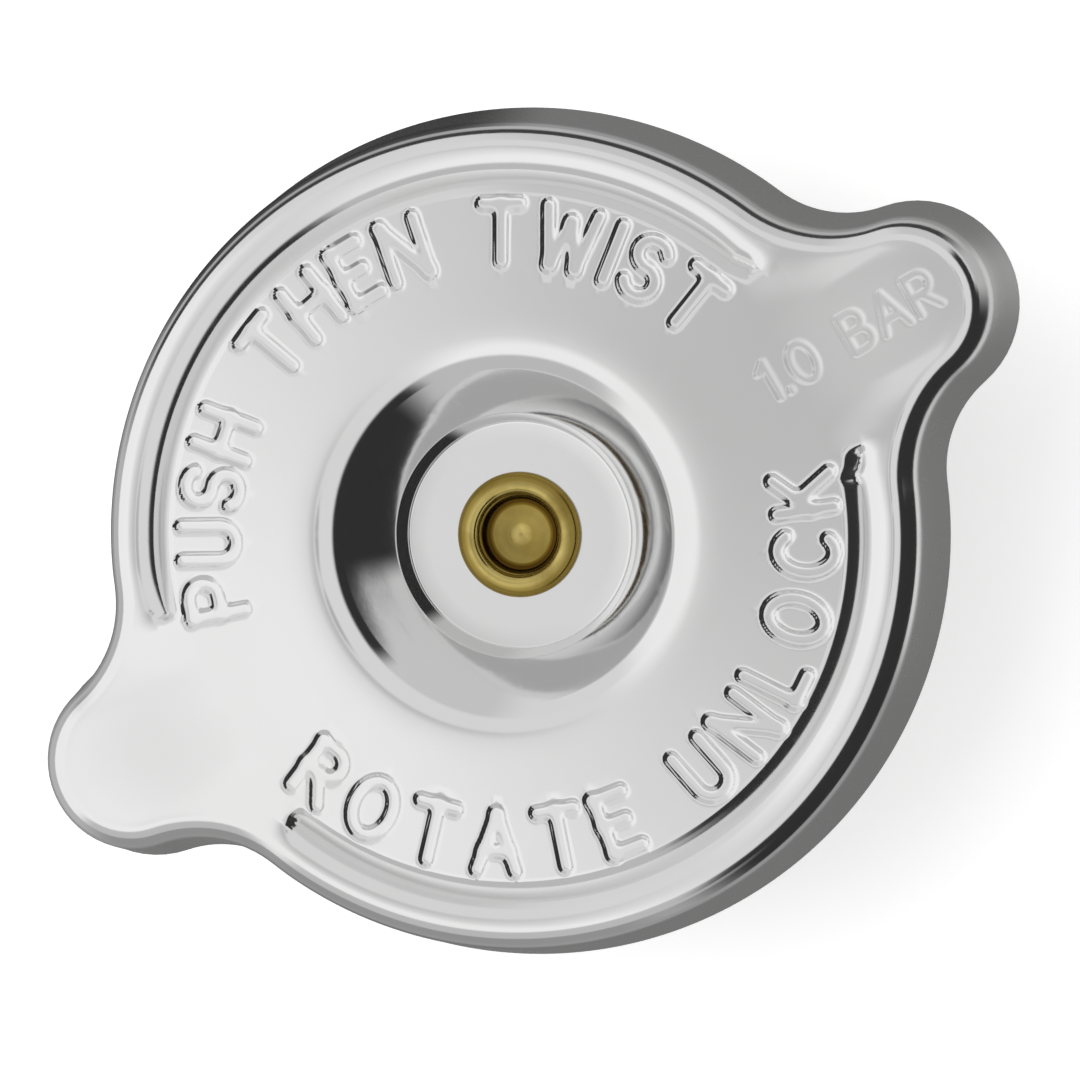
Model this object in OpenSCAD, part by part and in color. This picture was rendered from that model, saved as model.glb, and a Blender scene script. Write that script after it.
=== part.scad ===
/* Two-eared pressure cap for a radiator filler neck.
   Millimetres, +Z up, ears along X, standing on the face of its main gasket. */

/* [Filler neck] */
// Depth from the rim seal's face to the main seal's face
seal_depth = 28.45; // [27:0.05:31]

/* [Shell] */
// Outer radius of the skirt at its open edge
body_r = 31.5; // [29:0.1:34]
// Distance from the axis to the tip of an ear
ear_reach = 41.2; // [40:0.1:44]
// Radius of the rounded ear tip
ear_r = 7.6; // [7:0.1:9]
// Radius of the hollow curve between ear and body
ear_blend_r = 8.4; // [5:0.1:10]
// Height of the shell from its open edge to the rim
shell_h = 10.2; // [10:0.1:12]
// Thickness of the pressed sheet
sheet_t = 0.9; // [0.8:0.05:1]
// How much the skirt widens from the shoulder to the open edge
skirt_flare = 0.9; // [0.5:0.1:1.2]
// Width of the rounded shoulder
shoulder_w = 2.6; // [2.2:0.1:3]
// Height of the rounded shoulder
shoulder_h = 4.1; // [3:0.1:5]

/* [Lettered field] */
// Radius of the sunken field
field_r = 26.3; // [25.5:0.1:26.6]
// Depth of the edge of the field below the rim
field_drop = 0.8; // [0.6:0.05:0.85]
// Height by which the field is crowned towards the well
field_crown = 0.3; // [0:0.05:0.5]
// Width of the sloping step at the edge of the field
step_w = 0.7; // [0.5:0.05:1]
// Angle over which the field runs up into each ear
ear_gap = 33; // [26:1:38]
// Radial length of the run-up into each ear
run_up = 4.4; // [3:0.1:6]

/* [Well] */
// Radius of the flat floor of the well
well_floor_r = 8.3; // [7.5:0.1:9]
// Depth of the well below its lip
well_depth = 5.4; // [4.5:0.1:5.8]
// Slope of the wall of the well in degrees
well_slope = 65; // [55:1:72]
// Radius of the rounded lip of the well
well_lip = 3.2; // [2.5:0.1:3.6]
// Radius in the corner of the floor
well_corner = 0.6; // [0.4:0.05:0.9]

/* [Cam fingers] */
// Inner radius of the fingers
finger_r = 25.7; // [25.6:0.1:27]
// Angle of the shell that each finger takes up
finger_angle = 32; // [24:1:40]
// How far the fingers hang below the skirt
finger_drop = 2.4; // [2:0.1:3]
// Outer bend radius of the fingers
finger_bend = 1.6; // [1.2:0.1:1.8]

/* [Rivet] */
// Radius of the rivet head
rivet_head_r = 4.65; // [4.2:0.05:5]
// Height of the rolled edge of the head
rivet_head_h = 1.1; // [0.9:0.05:1.4]
// Radius of the shank
rivet_shank_r = 3.2; // [3:0.05:3.4]
// Radius of the cup in the head
rivet_cup_r = 2.6; // [2.2:0.05:2.7]
// Depth of the cup below the rolled edge
rivet_cup_d = 1.3; // [1:0.05:1.6]
// Radius of the clinched end
rivet_clinch_r = 4.4; // [4:0.05:5]
// Thickness of the clinched end
rivet_clinch_t = 0.7; // [0.5:0.05:0.9]

/* [Diaphragm and rim seal] */
// Thickness of the diaphragm
dia_t = 0.4; // [0.3:0.05:0.5]
// Radius where the diaphragm starts to rise
dia_flat_r = 13; // [11:0.1:14]
// Height by which the outer band of the diaphragm is raised
dia_rise = 2.1; // [1.6:0.1:2.6]
// Inner radius of the rim gasket
rim_gasket_in = 20.9; // [20.9:0.1:22]
// Outer radius of the rim gasket
rim_gasket_out = 25.2; // [24:0.1:25.2]
// Thickness of the rim gasket
rim_gasket_t = 1.4; // [1:0.1:1.8]

/* [Pressure spring] */
// Wire diameter
spring_wire = 2; // [1.6:0.1:2.2]
// Mean coil radius
spring_r = 15.2; // [14.8:0.1:15.4]
// Number of open turns
spring_turns = 4.5; // [4:0.5:5]
// Thickness of the upper seat
seat_t = 0.8; // [0.6:0.05:1]
// Depth of the turned-down edge of the upper seat
seat_edge = 2.2; // [1.6:0.1:3]

/* [Guide] */
// Outer radius of the guide tube
guide_r = 10.2; // [10:0.1:10.8]
// Thickness of the guide sheet
guide_t = 0.7; // [0.5:0.05:0.8]
// Width of the windows in the guide
window_w = 4; // [3:0.1:5]
// Height of the windows in the guide
window_h = 8; // [6:0.1:9]

/* [Pressure valve] */
// Lift of the pressure valve
valve_lift = 5; // [4:0.1:6]
// Outer radius of the valve plate
plate_r = 19.5; // [19:0.1:19.8]
// Thickness of the valve plate
plate_t = 0.9; // [0.7:0.05:1.1]
// Height of the bead that centres the spring
bead_h = 1; // [0.6:0.05:1.2]
// Outer radius of the main gasket
gasket_r = 20.3; // [20:0.1:20.5]
// Thickness of the main gasket
gasket_t = 2.8; // [2.6:0.05:3.2]
// Radius of the clamping flange of the hub
hub_flange_r = 12.4; // [11.5:0.1:13]
// Thickness of the clamping flange of the hub
hub_flange_t = 0.8; // [0.6:0.05:1]
// Outer radius of the hub tube
hub_r = 7.3; // [7.1:0.05:7.5]
// Wall thickness of the hub tube
hub_t = 0.7; // [0.5:0.05:0.8]
// Height of the locking bead on the hub
hub_bead = 0.7; // [0.5:0.05:0.9]
// Thickness of the web across the hub
web_t = 0.7; // [0.5:0.05:0.9]
// Radius of the vent holes in the web
vent_r = 0.9; // [0.7:0.05:1]

/* [Vacuum valve] */
// Travel of the vacuum valve
vacuum_lift = 2; // [1.5:0.1:2.1]
// Radius of the vacuum valve disc
disc_r = 5.4; // [5.3:0.05:5.7]
// Thickness of the disc
disc_t = 0.9; // [0.7:0.05:1.1]
// Thickness of the rubber seal on the disc
seal_t = 0.8; // [0.6:0.05:1]
// Radius of the stem
stem_r = 1.2; // [1:0.05:1.3]
// Height of the small spring
vacuum_len = 3.9; // [3.9:0.1:4.6]
// Wire diameter of the small spring
vacuum_wire = 0.4; // [0.3:0.05:0.4]
// Mean coil radius of the small spring
vacuum_r = 2.2; // [2.1:0.05:2.4]
// Radius of the keeper washer
keeper_r = 3.2; // [3:0.05:3.6]
// Thickness of the keeper washer
keeper_t = 0.6; // [0.4:0.05:0.8]

/* [Clearances] */
// Running clearance around the rivet shank and above the diaphragm
swivel_gap = 0.05; // [0.03:0.01:0.08]
// Sliding clearance between hub and guide
slide_gap = 0.3; // [0.2:0.05:0.4]
// Gap left where a moving stop or a spring end rests
rest_gap = 0.05; // [0.03:0.01:0.08]
// Height of the hub flange above the sealing face
recess = 0.4; // [0.3:0.05:0.6]
// Clearance below the open vacuum valve and at the end of the pressure valve's lift
end_gap = 0.4; // [0.3:0.05:0.6]
// Slack of rings and washers on what they sit around
ring_gap = 0.06; // [0.04:0.01:0.1]

/* [View] */
// Node to build

/* [Hidden] */
$fn = 96;

// Heights, counted up from the sealing face
flange_top = recess + hub_flange_t;
plate_top = gasket_t + plate_t;
band_z = seal_depth + rim_gasket_t;
dia_z = band_z - dia_rise;
seat_z = dia_z - seat_t;
well_z = dia_z + dia_t + swivel_gap + sheet_t;
lip_z = well_z + well_depth;
field_z = lip_z - field_crown;
rim_z = field_z + field_drop;
edge_z = rim_z - shell_h;
finger_z = edge_z - finger_drop;
guide_z = plate_top + hub_bead + valve_lift + end_gap;
flare_z = guide_z + guide_t + rest_gap;
disc_z = end_gap + vacuum_lift;
seal_z = disc_z + disc_t;
web_z = seal_z + seal_t + rest_gap;
web_top = web_z + web_t;
keeper_z = web_top + vacuum_len;
head_z = keeper_z + keeper_t;

// Outline of the shell: body arc, hollow blends and ear tips, all tangent
ear_x = ear_reach - ear_r;
blend_x = (pow(body_r + ear_blend_r, 2) - pow(ear_r + ear_blend_r, 2) + ear_x * ear_x) / (2 * ear_x);
blend_y = sqrt(pow(body_r + ear_blend_r, 2) - blend_x * blend_x);
body_a = atan2(blend_y, blend_x);
ear_a = atan2(blend_y, blend_x - ear_x);
ear_steps = 14;
blend_steps = 6;
body_steps = 26;

function arc(c, r, a0, a1, n, last = 1) =
    [for (i = [0 : n - 1 + last]) c + r * [cos(a0 + (a1 - a0) * i / n), sin(a0 + (a1 - a0) * i / n)]];

function half_outline(d) = concat(
    arc([ear_x, 0], ear_r - d, -ear_a, ear_a, ear_steps, 0),
    arc([blend_x, blend_y], ear_blend_r + d, 180 + ear_a, 180 + body_a, blend_steps, 0),
    arc([0, 0], body_r - d, body_a, 180 - body_a, body_steps, 0),
    arc([-blend_x, blend_y], ear_blend_r + d, 360 - body_a, 360 - ear_a, blend_steps, 0));

function outline(d) = concat(half_outline(d), [for (p = half_outline(d)) -p]);

// Levels of the skin as [inset, height] for a sheet face lying in by t
shoulder_steps = 6;
function skin_levels(t, foot) = concat(
    [[t - skirt_flare * foot / (shell_h - shoulder_h), edge_z - foot]],
    [for (i = [0 : shoulder_steps]) let (a = 90 * i / shoulder_steps)
        [skirt_flare + shoulder_w - (shoulder_w - t) * cos(a), rim_z - shoulder_h + (shoulder_h - t) * sin(a)]]);

// Solid between stacked outlines
module skin(levels) {
    n = len(outline(0));
    m = len(levels);
    points = [for (l = levels) for (p = outline(l[0])) [p[0], p[1], l[1]]];
    sides = [for (k = [0 : m - 2]) for (i = [0 : n - 1])
        [k * n + i, k * n + n + i, k * n + n + (i + 1) % n, k * n + (i + 1) % n]];
    polyhedron(points, concat([[for (i = [0 : n - 1]) i]], sides, [[for (i = [n - 1 : -1 : 0]) (m - 1) * n + i]]));
}

// Section of the sheet from the rivet hole over the well and the field to the step
lap = 0.9;
lap_inset = 0.08;
wall_drop = well_depth - (well_lip + well_corner) * (1 - cos(well_slope));
lip_r = well_floor_r + (well_lip + well_corner) * sin(well_slope) + wall_drop / tan(well_slope);
hole_r = rivet_shank_r + swivel_gap;

function well_face(t) = concat(
    [[hole_r, well_z - t]],
    arc([well_floor_r, well_z + well_corner], well_corner + t, -90, well_slope - 90, 5),
    arc([lip_r, lip_z - well_lip], well_lip - t, 90 + well_slope, 90, 8));

top_face = concat(well_face(0), [
    [field_r - step_w, field_z],
    [field_r, rim_z - lap_inset],
    [field_r + lap, rim_z - lap_inset]]);
under_face = concat(well_face(sheet_t), [
    [field_r - step_w + sheet_t / 3, field_z - sheet_t],
    [field_r + sheet_t / 3, rim_z - sheet_t + lap_inset],
    [field_r + lap, rim_z - sheet_t + lap_inset]]);

function reversed(v) = [for (i = [len(v) - 1 : -1 : 0]) v[i]];

// Sloping run-up of the field into both ears, lying t below the upper face
module run_ups(t, depth) {
    z0 = field_z + field_crown * (run_up - step_w) / (field_r - step_w - lip_r) - t;
    z1 = rim_z - lap_inset - t;
    for (side = [0, 180])
        rotate(side - ear_gap / 2)
            rotate_extrude(angle = ear_gap)
                polygon([
                    [field_r - run_up, z0],
                    [field_r + lap / 2, z1],
                    [field_r + lap / 2, z0 - depth],
                    [field_r - run_up, z0 - depth]]);
}

// Finger bent in under the skirt
finger_inset = 0.14;
finger_t = sheet_t - 2 * finger_inset;
finger_out = body_r - finger_inset;
module finger() {
    bend = [finger_out - finger_bend, finger_z + finger_bend];
    profile = concat(
        [[finger_out - finger_t, edge_z + 0.3], [finger_out, edge_z + 0.3]],
        arc(bend, finger_bend, 0, -90, 6),
        [[finger_r, finger_z], [finger_r, finger_z + finger_t]],
        arc(bend, finger_bend - finger_t, -90, 0, 6));
    rotate(-finger_angle / 2)
        rotate_extrude(angle = finger_angle)
            polygon(profile);
}

module cap_shell() {
    color("gainsboro")
    union() {
        difference() {
            union() {
                difference() {
                    skin(skin_levels(0, 0));
                    skin(skin_levels(sheet_t, 1));
                    translate([0, 0, field_z - sheet_t])
                        cylinder(r = field_r, h = 10);
                }
                rotate_extrude()
                    polygon(concat(top_face, reversed(under_face)));
            }
            run_ups(sheet_t, 2);
        }
        run_ups(0, 0.3);
        for (side = [90, 270])
            rotate(side)
                finger();
    }
}

module rivet() {
    top = well_z + swivel_gap;
    roll_r = (rivet_head_r - rivet_cup_r) / 2;
    bottom = seat_z - guide_t;
    color("goldenrod")
    difference() {
        rotate_extrude()
            polygon(concat(
                [[0, bottom - rivet_clinch_t], [rivet_clinch_r - 0.3, bottom - rivet_clinch_t]],
                [[rivet_clinch_r, bottom - rivet_clinch_t + 0.3], [rivet_clinch_r, bottom]],
                [[rivet_shank_r, bottom], [rivet_shank_r, top], [rivet_head_r, top]],
                [for (i = [0 : 10]) let (a = 18 * i)
                    [rivet_head_r - roll_r + roll_r * cos(a), top + 0.25 + (rivet_head_h - 0.25) * sin(a)]],
                [[rivet_cup_r, top + rivet_head_h - rivet_cup_d], [0, top + rivet_head_h - rivet_cup_d]]));
        translate([0, 0, bottom - rivet_clinch_t - 1])
            cylinder(r = rivet_shank_r - 0.9, h = rivet_clinch_t + guide_t + 1.4);
        translate([0, 0, top + rivet_head_h - rivet_cup_d - 0.4])
            cylinder(r1 = 0.15, r2 = 0.7, h = 0.5);
    }
}

// Radial section of a pressed ring of even thickness, from its upper edge line
module ring_sheet(line, t) {
    rotate_extrude()
        polygon(concat(line, [for (p = reversed(line)) [p[0], p[1] - t]]));
}

// Places shared by the diaphragm and the rim gasket
band_in = rim_gasket_in - 0.5;
band_out = rim_gasket_out + ring_gap;

module diaphragm() {
    crest = dia_rise * 0.06;
    rise = [
        [rivet_shank_r + ring_gap, dia_z],
        [dia_flat_r, dia_z],
        [dia_flat_r + 0.9, dia_z + crest],
        [band_in - 0.9, band_z - crest],
        [band_in, band_z],
        [band_out, band_z]];
    color("silver")
    rotate_extrude()
        polygon(concat(
            rise,
            [[band_out, band_z - rim_gasket_t / 2], [band_out + dia_t, band_z - rim_gasket_t / 2]],
            [[band_out + dia_t, band_z + dia_t]],
            [for (p = reversed(rise)) if (p[0] < band_out) [p[0], p[1] + dia_t]]));
}

module rim_gasket() {
    edge = 0.25;
    color("dimgray")
    rotate_extrude()
        polygon([
            [rim_gasket_in, band_z],
            [rim_gasket_in, band_z - rim_gasket_t + edge],
            [rim_gasket_in + edge, band_z - rim_gasket_t],
            [rim_gasket_out - edge, band_z - rim_gasket_t],
            [rim_gasket_out, band_z - rim_gasket_t + edge],
            [rim_gasket_out, band_z]]);
}

seat_in = spring_r + spring_wire / 2 + 0.5;

module spring_seat() {
    bend = 1.2;
    color("lightgray")
    rotate_extrude()
        polygon(concat(
            [[rivet_shank_r + ring_gap, seat_z], [rivet_shank_r + ring_gap, dia_z]],
            arc([seat_in + seat_t - bend, dia_z - bend], bend, 90, 0, 6),
            [[seat_in + seat_t, dia_z - seat_edge], [seat_in, dia_z - seat_edge]],
            arc([seat_in + seat_t - bend, dia_z - bend], bend - seat_t, 0, 90, 6)));
}

// Bends at the head and the foot of the guide; the hub's flare sits on the flat inside the foot
guide_head_bend = 1.6;
guide_foot_bend = 1;
flare_r = guide_r - guide_foot_bend - ring_gap;

module spring_guide() {
    head = [guide_r - guide_head_bend, seat_z - guide_head_bend];
    foot = [guide_r - guide_foot_bend, guide_z + guide_foot_bend];
    color("darkgray")
    difference() {
        rotate_extrude()
            polygon(concat(
                [[rivet_shank_r + ring_gap, seat_z - guide_t], [rivet_shank_r + ring_gap, seat_z]],
                arc(head, guide_head_bend, 90, 0, 6),
                arc(foot, guide_foot_bend, 0, -90, 6),
                [[hub_r + slide_gap, guide_z], [hub_r + slide_gap, guide_z + guide_t]],
                arc(foot, guide_foot_bend - guide_t, -90, 0, 6),
                arc(head, guide_head_bend - guide_t, 0, 90, 6)));
        for (i = [0 : 3])
            rotate(45 + 90 * i)
                translate([0, 0, (guide_z + seat_z) / 2])
                    rotate([0, 90, 0])
                        union() {
                            translate([-(window_h - window_w) / 2, -window_w / 2, 0])
                                cube([window_h - window_w, window_w, guide_r + 1]);
                            for (end = [-1, 1])
                                translate([end * (window_h - window_w) / 2, 0, 0])
                                    cylinder(r = window_w / 2, h = guide_r + 1, $fn = 48);
                        }
    }
}

// Wire wound on radius r from z0 to z1: closed end turns and open turns between
function coil_height(u, wire, z0, z1, turns) =
    let (total = turns + 2,
        closed = wire + 0.03,
        pitch = (z1 - z0 - wire - 2 * closed) / turns,
        n = u * total)
    z0 + wire / 2 + (n < 1 ? n * closed
        : n > total - 1 ? closed + turns * pitch + (n - total + 1) * closed
        : closed + (n - 1) * pitch);

module coil(r, wire, z0, z1, turns, per_turn, sides) {
    m = round((turns + 2) * per_turn);
    points = [for (k = [0 : m]) let (a = 360 * (turns + 2) * k / m, z = coil_height(k / m, wire, z0, z1, turns))
        for (j = [0 : sides - 1]) let (b = 360 * (j + 0.5) / sides, q = r + wire / 2 * cos(b))
            [q * cos(a), q * sin(a), z + wire / 2 * sin(b)]];
    tube = [for (k = [0 : m - 1]) for (j = [0 : sides - 1])
        [k * sides + j, k * sides + sides + j, k * sides + sides + (j + 1) % sides, k * sides + (j + 1) % sides]];
    polyhedron(points, concat(
        [[for (j = [0 : sides - 1]) j]], tube, [[for (j = [sides - 1 : -1 : 0]) m * sides + j]]));
}

module pressure_spring() {
    color("silver")
        coil(spring_r, spring_wire, plate_top + rest_gap, seat_z - rest_gap / 2, spring_turns, 26, 12);
}

module valve_plate() {
    bead_in = seat_in;
    color("darkkhaki")
        ring_sheet([
            [hub_r + ring_gap, plate_top],
            [bead_in, plate_top],
            [bead_in + 0.3, plate_top + bead_h],
            [bead_in + 0.9, plate_top + bead_h],
            [bead_in + 1.2, plate_top],
            [plate_r, plate_top]], plate_t);
}

module main_gasket() {
    edge = 0.4;
    step = hub_flange_r + ring_gap;
    color("dimgray")
    rotate_extrude()
        polygon([
            [hub_r + ring_gap, gasket_t],
            [hub_r + ring_gap, flange_top],
            [step, flange_top],
            [step, edge / 2],
            [step + edge / 2, 0],
            [gasket_r - edge, 0],
            [gasket_r, edge],
            [gasket_r, gasket_t - edge],
            [gasket_r - edge, gasket_t]]);
}

bore_r = hub_r - hub_t;

module valve_hub() {
    color("peru")
    difference() {
        rotate_extrude()
            polygon([
                [0, web_z],
                [bore_r, web_z],
                [bore_r, recess + 0.5],
                [bore_r + 0.5, recess],
                [hub_flange_r - 0.2, recess],
                [hub_flange_r, recess + 0.2],
                [hub_flange_r, flange_top],
                [hub_r, flange_top],
                [hub_r, plate_top],
                [hub_r + 0.45, plate_top + hub_bead / 2],
                [hub_r, plate_top + hub_bead],
                [hub_r, flare_z],
                [flare_r, flare_z],
                [flare_r, flare_z + guide_t],
                [bore_r, flare_z + guide_t],
                [bore_r, web_top],
                [0, web_top]]);
        translate([0, 0, web_z - 1])
            cylinder(r = stem_r + slide_gap, h = web_t + 2);
        for (i = [0 : 4])
            rotate(72 * i)
                translate([(vacuum_r + bore_r) / 2 - 0.2, 0, web_z - 1])
                    cylinder(r = vent_r, h = web_t + 2, $fn = 32);
    }
}

module vacuum_valve() {
    color("goldenrod")
    rotate_extrude()
        polygon([
            [0, disc_z + 0.25],
            [1.4, disc_z],
            [disc_r - 0.3, disc_z],
            [disc_r, disc_z + 0.3],
            [disc_r, seal_z],
            [stem_r, seal_z],
            [stem_r, head_z],
            [stem_r + 0.6, head_z],
            [stem_r + 0.45, head_z + 0.4],
            [0, head_z + 0.5]]);
}

module vacuum_seal() {
    color("dimgray")
    translate([0, 0, seal_z])
        difference() {
            cylinder(r = disc_r - 0.2, h = seal_t);
            translate([0, 0, -1])
                cylinder(r = stem_r + ring_gap, h = seal_t + 2);
        }
}

module vacuum_spring() {
    color("silver")
        coil(vacuum_r, vacuum_wire, web_top + rest_gap / 2, keeper_z - rest_gap, 2.5, 20, 8);
}

module vacuum_keeper() {
    color("goldenrod")
    translate([0, 0, keeper_z])
        difference() {
            cylinder(r = keeper_r, h = keeper_t);
            translate([0, 0, -1])
                cylinder(r = stem_r + ring_gap, h = keeper_t + 2);
        }
}

cap_shell();
rivet();
diaphragm();
rim_gasket();
spring_seat();
spring_guide();
pressure_spring();
valve_plate();
main_gasket();
valve_hub();
vacuum_valve();
vacuum_seal();
vacuum_spring();
vacuum_keeper();
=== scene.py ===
import math

import bmesh
import bpy
import numpy as np
from mathutils import Matrix, Vector


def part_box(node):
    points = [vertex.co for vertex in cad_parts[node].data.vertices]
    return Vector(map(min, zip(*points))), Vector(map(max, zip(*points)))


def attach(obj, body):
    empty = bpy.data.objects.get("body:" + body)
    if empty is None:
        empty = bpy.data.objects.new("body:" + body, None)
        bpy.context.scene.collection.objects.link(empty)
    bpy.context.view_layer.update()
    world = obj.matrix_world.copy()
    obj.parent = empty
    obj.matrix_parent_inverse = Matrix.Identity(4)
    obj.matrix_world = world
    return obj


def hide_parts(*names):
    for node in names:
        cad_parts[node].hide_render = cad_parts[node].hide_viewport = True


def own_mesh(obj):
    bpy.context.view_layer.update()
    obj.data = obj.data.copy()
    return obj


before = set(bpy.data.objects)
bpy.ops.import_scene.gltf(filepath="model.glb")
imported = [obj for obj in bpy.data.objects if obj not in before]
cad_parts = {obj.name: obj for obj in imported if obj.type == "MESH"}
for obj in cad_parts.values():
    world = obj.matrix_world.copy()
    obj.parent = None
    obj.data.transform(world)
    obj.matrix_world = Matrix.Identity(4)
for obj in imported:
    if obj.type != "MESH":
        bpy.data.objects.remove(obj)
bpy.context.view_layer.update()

bl_info = {
    "name": "Radiator Pressure Cap",
    "version": (1, 0, 0),
    "blender": (4, 5, 0),
    "location": "View3D > Sidebar > Cap",
    "description": "Makes a pressed two-eared radiator cap with its rivet, seals, springs and valves",
    "category": "Object",
}

MM = 0.001
SHELL_LOW, SHELL_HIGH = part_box("cap_shell")


def heights(node):
    """Lowest and highest height of a node of the frame."""
    low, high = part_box(node)
    return low.z, high.z


def reach(node):
    """Outer radius of a round node of the frame."""
    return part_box(node)[1].y


# Properties

def length(name, description, default):
    return bpy.props.FloatProperty(
        name=name, description=description, default=default, precision=5, unit="LENGTH")


def angle(name, description, degrees):
    return bpy.props.FloatProperty(
        name=name, description=description, default=math.radians(degrees), subtype="ANGLE")


def colour(name, description, default):
    return bpy.props.FloatVectorProperty(
        name=name, description=description, default=(*default, 1.0),
        size=4, min=0.0, max=1.0, subtype="COLOR")


class CapShellSettings(bpy.types.PropertyGroup):
    """Sizes of the pressed shell."""
    body_r: length("Body radius", "Outer radius of the skirt at its open edge", SHELL_HIGH.y)
    ear_reach: length("Ear reach", "Distance from the axis to the tip of an ear", SHELL_HIGH.x)
    ear_r: length("Ear radius", "Radius of the rounded ear tip", 7.6 * MM)
    blend_r: length("Blend radius", "Radius of the hollow curve between ear and body", 8.4 * MM)
    shell_h: length("Shell height", "Height from the open edge to the lip of the well", 10.2 * MM)
    sheet_t: length("Sheet", "Thickness of the pressed sheet", 0.9 * MM)
    flare: length("Flare", "How much the skirt widens towards its open edge", 0.9 * MM)
    shoulder_w: length("Shoulder width", "Width of the rounded shoulder", 2.1 * MM)
    shoulder_h: length("Shoulder height", "Height of the rounded shoulder", 3.4 * MM)
    rim_drop: length("Rim drop", "Depth of the rims beside the field below the lip of the well", 0.85 * MM)
    ear_fall: length("Ear fall", "How far the tips of the ears lie below the rims", 0.6 * MM)
    groove_r: length("Groove radius", "Radius of the crisp line where the field meets the rims", 26.47 * MM)
    field_drop: length("Field drop", "Depth of the outer field below the lip of the well", 0.8 * MM)
    crown_soft: length("Crown softness", "Width over which the lip turns into the falling field", 1.0 * MM)
    roll_w: length("Roll width", "Width over which the field rolls down to the groove", 1.3 * MM)
    roll_drop: length("Roll drop", "How far the field rolls down to the groove", 0.9 * MM)
    well_floor_r: length("Well floor", "Radius of the flat floor of the well", 8.2 * MM)
    well_depth: length("Well depth", "Depth of the well below its lip", 5.9 * MM)
    step_h: length("Well step", "Height of the steep step round the floor of the well", 1.5 * MM)
    step_slope: angle("Step slope", "Slope of the step", 68.0)
    well_slope: angle("Well slope", "Slope of the wall above the step", 45.0)
    well_lip: length("Well lip", "Radius of the bend of the lip", 3.5 * MM)
    well_knee: length("Well knee", "Radius of the bend between step and wall", 0.4 * MM)
    well_corner: length("Well corner", "Radius in the corner of the floor", 0.3 * MM)
    hole_r: length("Rivet hole", "Radius of the hole for the rivet", 3.25 * MM)
    finger_r: length("Finger radius", "Inner radius of the cam fingers", 25.7 * MM)
    finger_angle: angle("Finger angle", "Angle of the shell that each finger takes up", 32.0)
    finger_bend: length("Finger bend", "Outer bend radius of the fingers", 1.6 * MM)


class CapLetterSettings(bpy.types.PropertyGroup):
    """Words pressed into the field and the ear."""
    close_words: bpy.props.StringProperty(
        name="Closing words", description="Words on the upper arc", default="PUSH THEN TWIST")
    open_words: bpy.props.StringProperty(
        name="Opening words", description="Words on the lower arc", default="ROTATE UNLOCK")
    ear_words: bpy.props.StringProperty(
        name="Ear mark", description="Pressure marked on one ear", default="1.0 BAR")
    foot_r: length("Letter foot", "Radius of the feet of the closing words", 20.25 * MM)
    letter_h: length("Letter height", "Height of the letters", 4.2 * MM)
    depth: length("Depth", "Depth of the letters below the field", 0.36 * MM)
    floor_w: length("Stroke floor", "Half width of the flat floor of a stroke", 0.30 * MM)
    edge_w: length("Stroke edge", "Half width of a stroke at its upper edge", 0.70 * MM)
    web: length("Web", "How far strokes that meet run together", 0.45 * MM)
    ear_letter_h: length("Ear letter height", "Height of the letters on the ear", 2.9 * MM)
    ear_depth: length("Ear depth", "Depth of the letters on the ear", 0.04 * MM)
    ear_floor_w: length("Ear stroke floor", "Half width of the floor of a stroke on the ear", 0.14 * MM)
    ear_edge_w: length("Ear stroke edge", "Half width of a stroke on the ear at its edge", 0.42 * MM)
    ear_middle: length("Ear mark place", "Distance of the middle of the ear mark from the axis", 29.4 * MM)


class CapInsideSettings(bpy.types.PropertyGroup):
    """Sizes of the pieces under the shell that the frame does not give."""
    shank_r: length("Rivet shank", "Radius of the rivet's shank", 3.2 * MM)
    dia_t: length("Diaphragm sheet", "Thickness of the diaphragm", 0.4 * MM)
    dia_flat_r: length("Diaphragm flat", "Radius where the diaphragm starts to rise", 13.0 * MM)
    rim_seal_in: length("Rim gasket bore", "Inner radius of the rim gasket", 20.9 * MM)
    seat_t: length("Seat sheet", "Thickness of the upper spring seat", 0.8 * MM)
    guide_t: length("Guide sheet", "Thickness of the guide tube", 0.7 * MM)
    guide_bore: length("Guide lip", "Radius of the bore in the foot of the guide", 7.6 * MM)
    window_w: length("Window width", "Width of the windows in the guide", 4.0 * MM)
    window_h: length("Window height", "Height of the windows in the guide", 8.0 * MM)
    spring_wire: length("Spring wire", "Wire diameter of the pressure spring", 2.0 * MM)
    spring_turns: bpy.props.FloatProperty(
        name="Spring turns", description="Open turns of the pressure spring", default=4.5)
    plate_t: length("Plate sheet", "Thickness of the valve plate", 0.9 * MM)
    hub_r: length("Hub tube", "Outer radius of the hub tube", 7.3 * MM)
    hub_t: length("Hub wall", "Wall thickness of the hub tube", 0.7 * MM)
    hub_flange_t: length("Hub flange", "Thickness of the clamping flange", 0.8 * MM)
    web_t: length("Hub web", "Thickness of the web across the hub", 0.7 * MM)
    vent_r: length("Vent", "Radius of the vent holes in the web", 0.9 * MM)
    stem_r: length("Stem", "Radius of the vacuum valve's stem", 1.2 * MM)
    disc_t: length("Disc", "Thickness of the vacuum valve's disc", 0.9 * MM)
    vacuum_wire: length("Small wire", "Wire diameter of the vacuum spring", 0.4 * MM)
    vacuum_turns: bpy.props.FloatProperty(
        name="Small turns", description="Open turns of the vacuum spring", default=2.5)
    slack: length("Slack", "Slack of rings and washers on what they sit around", 0.06 * MM)


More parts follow.
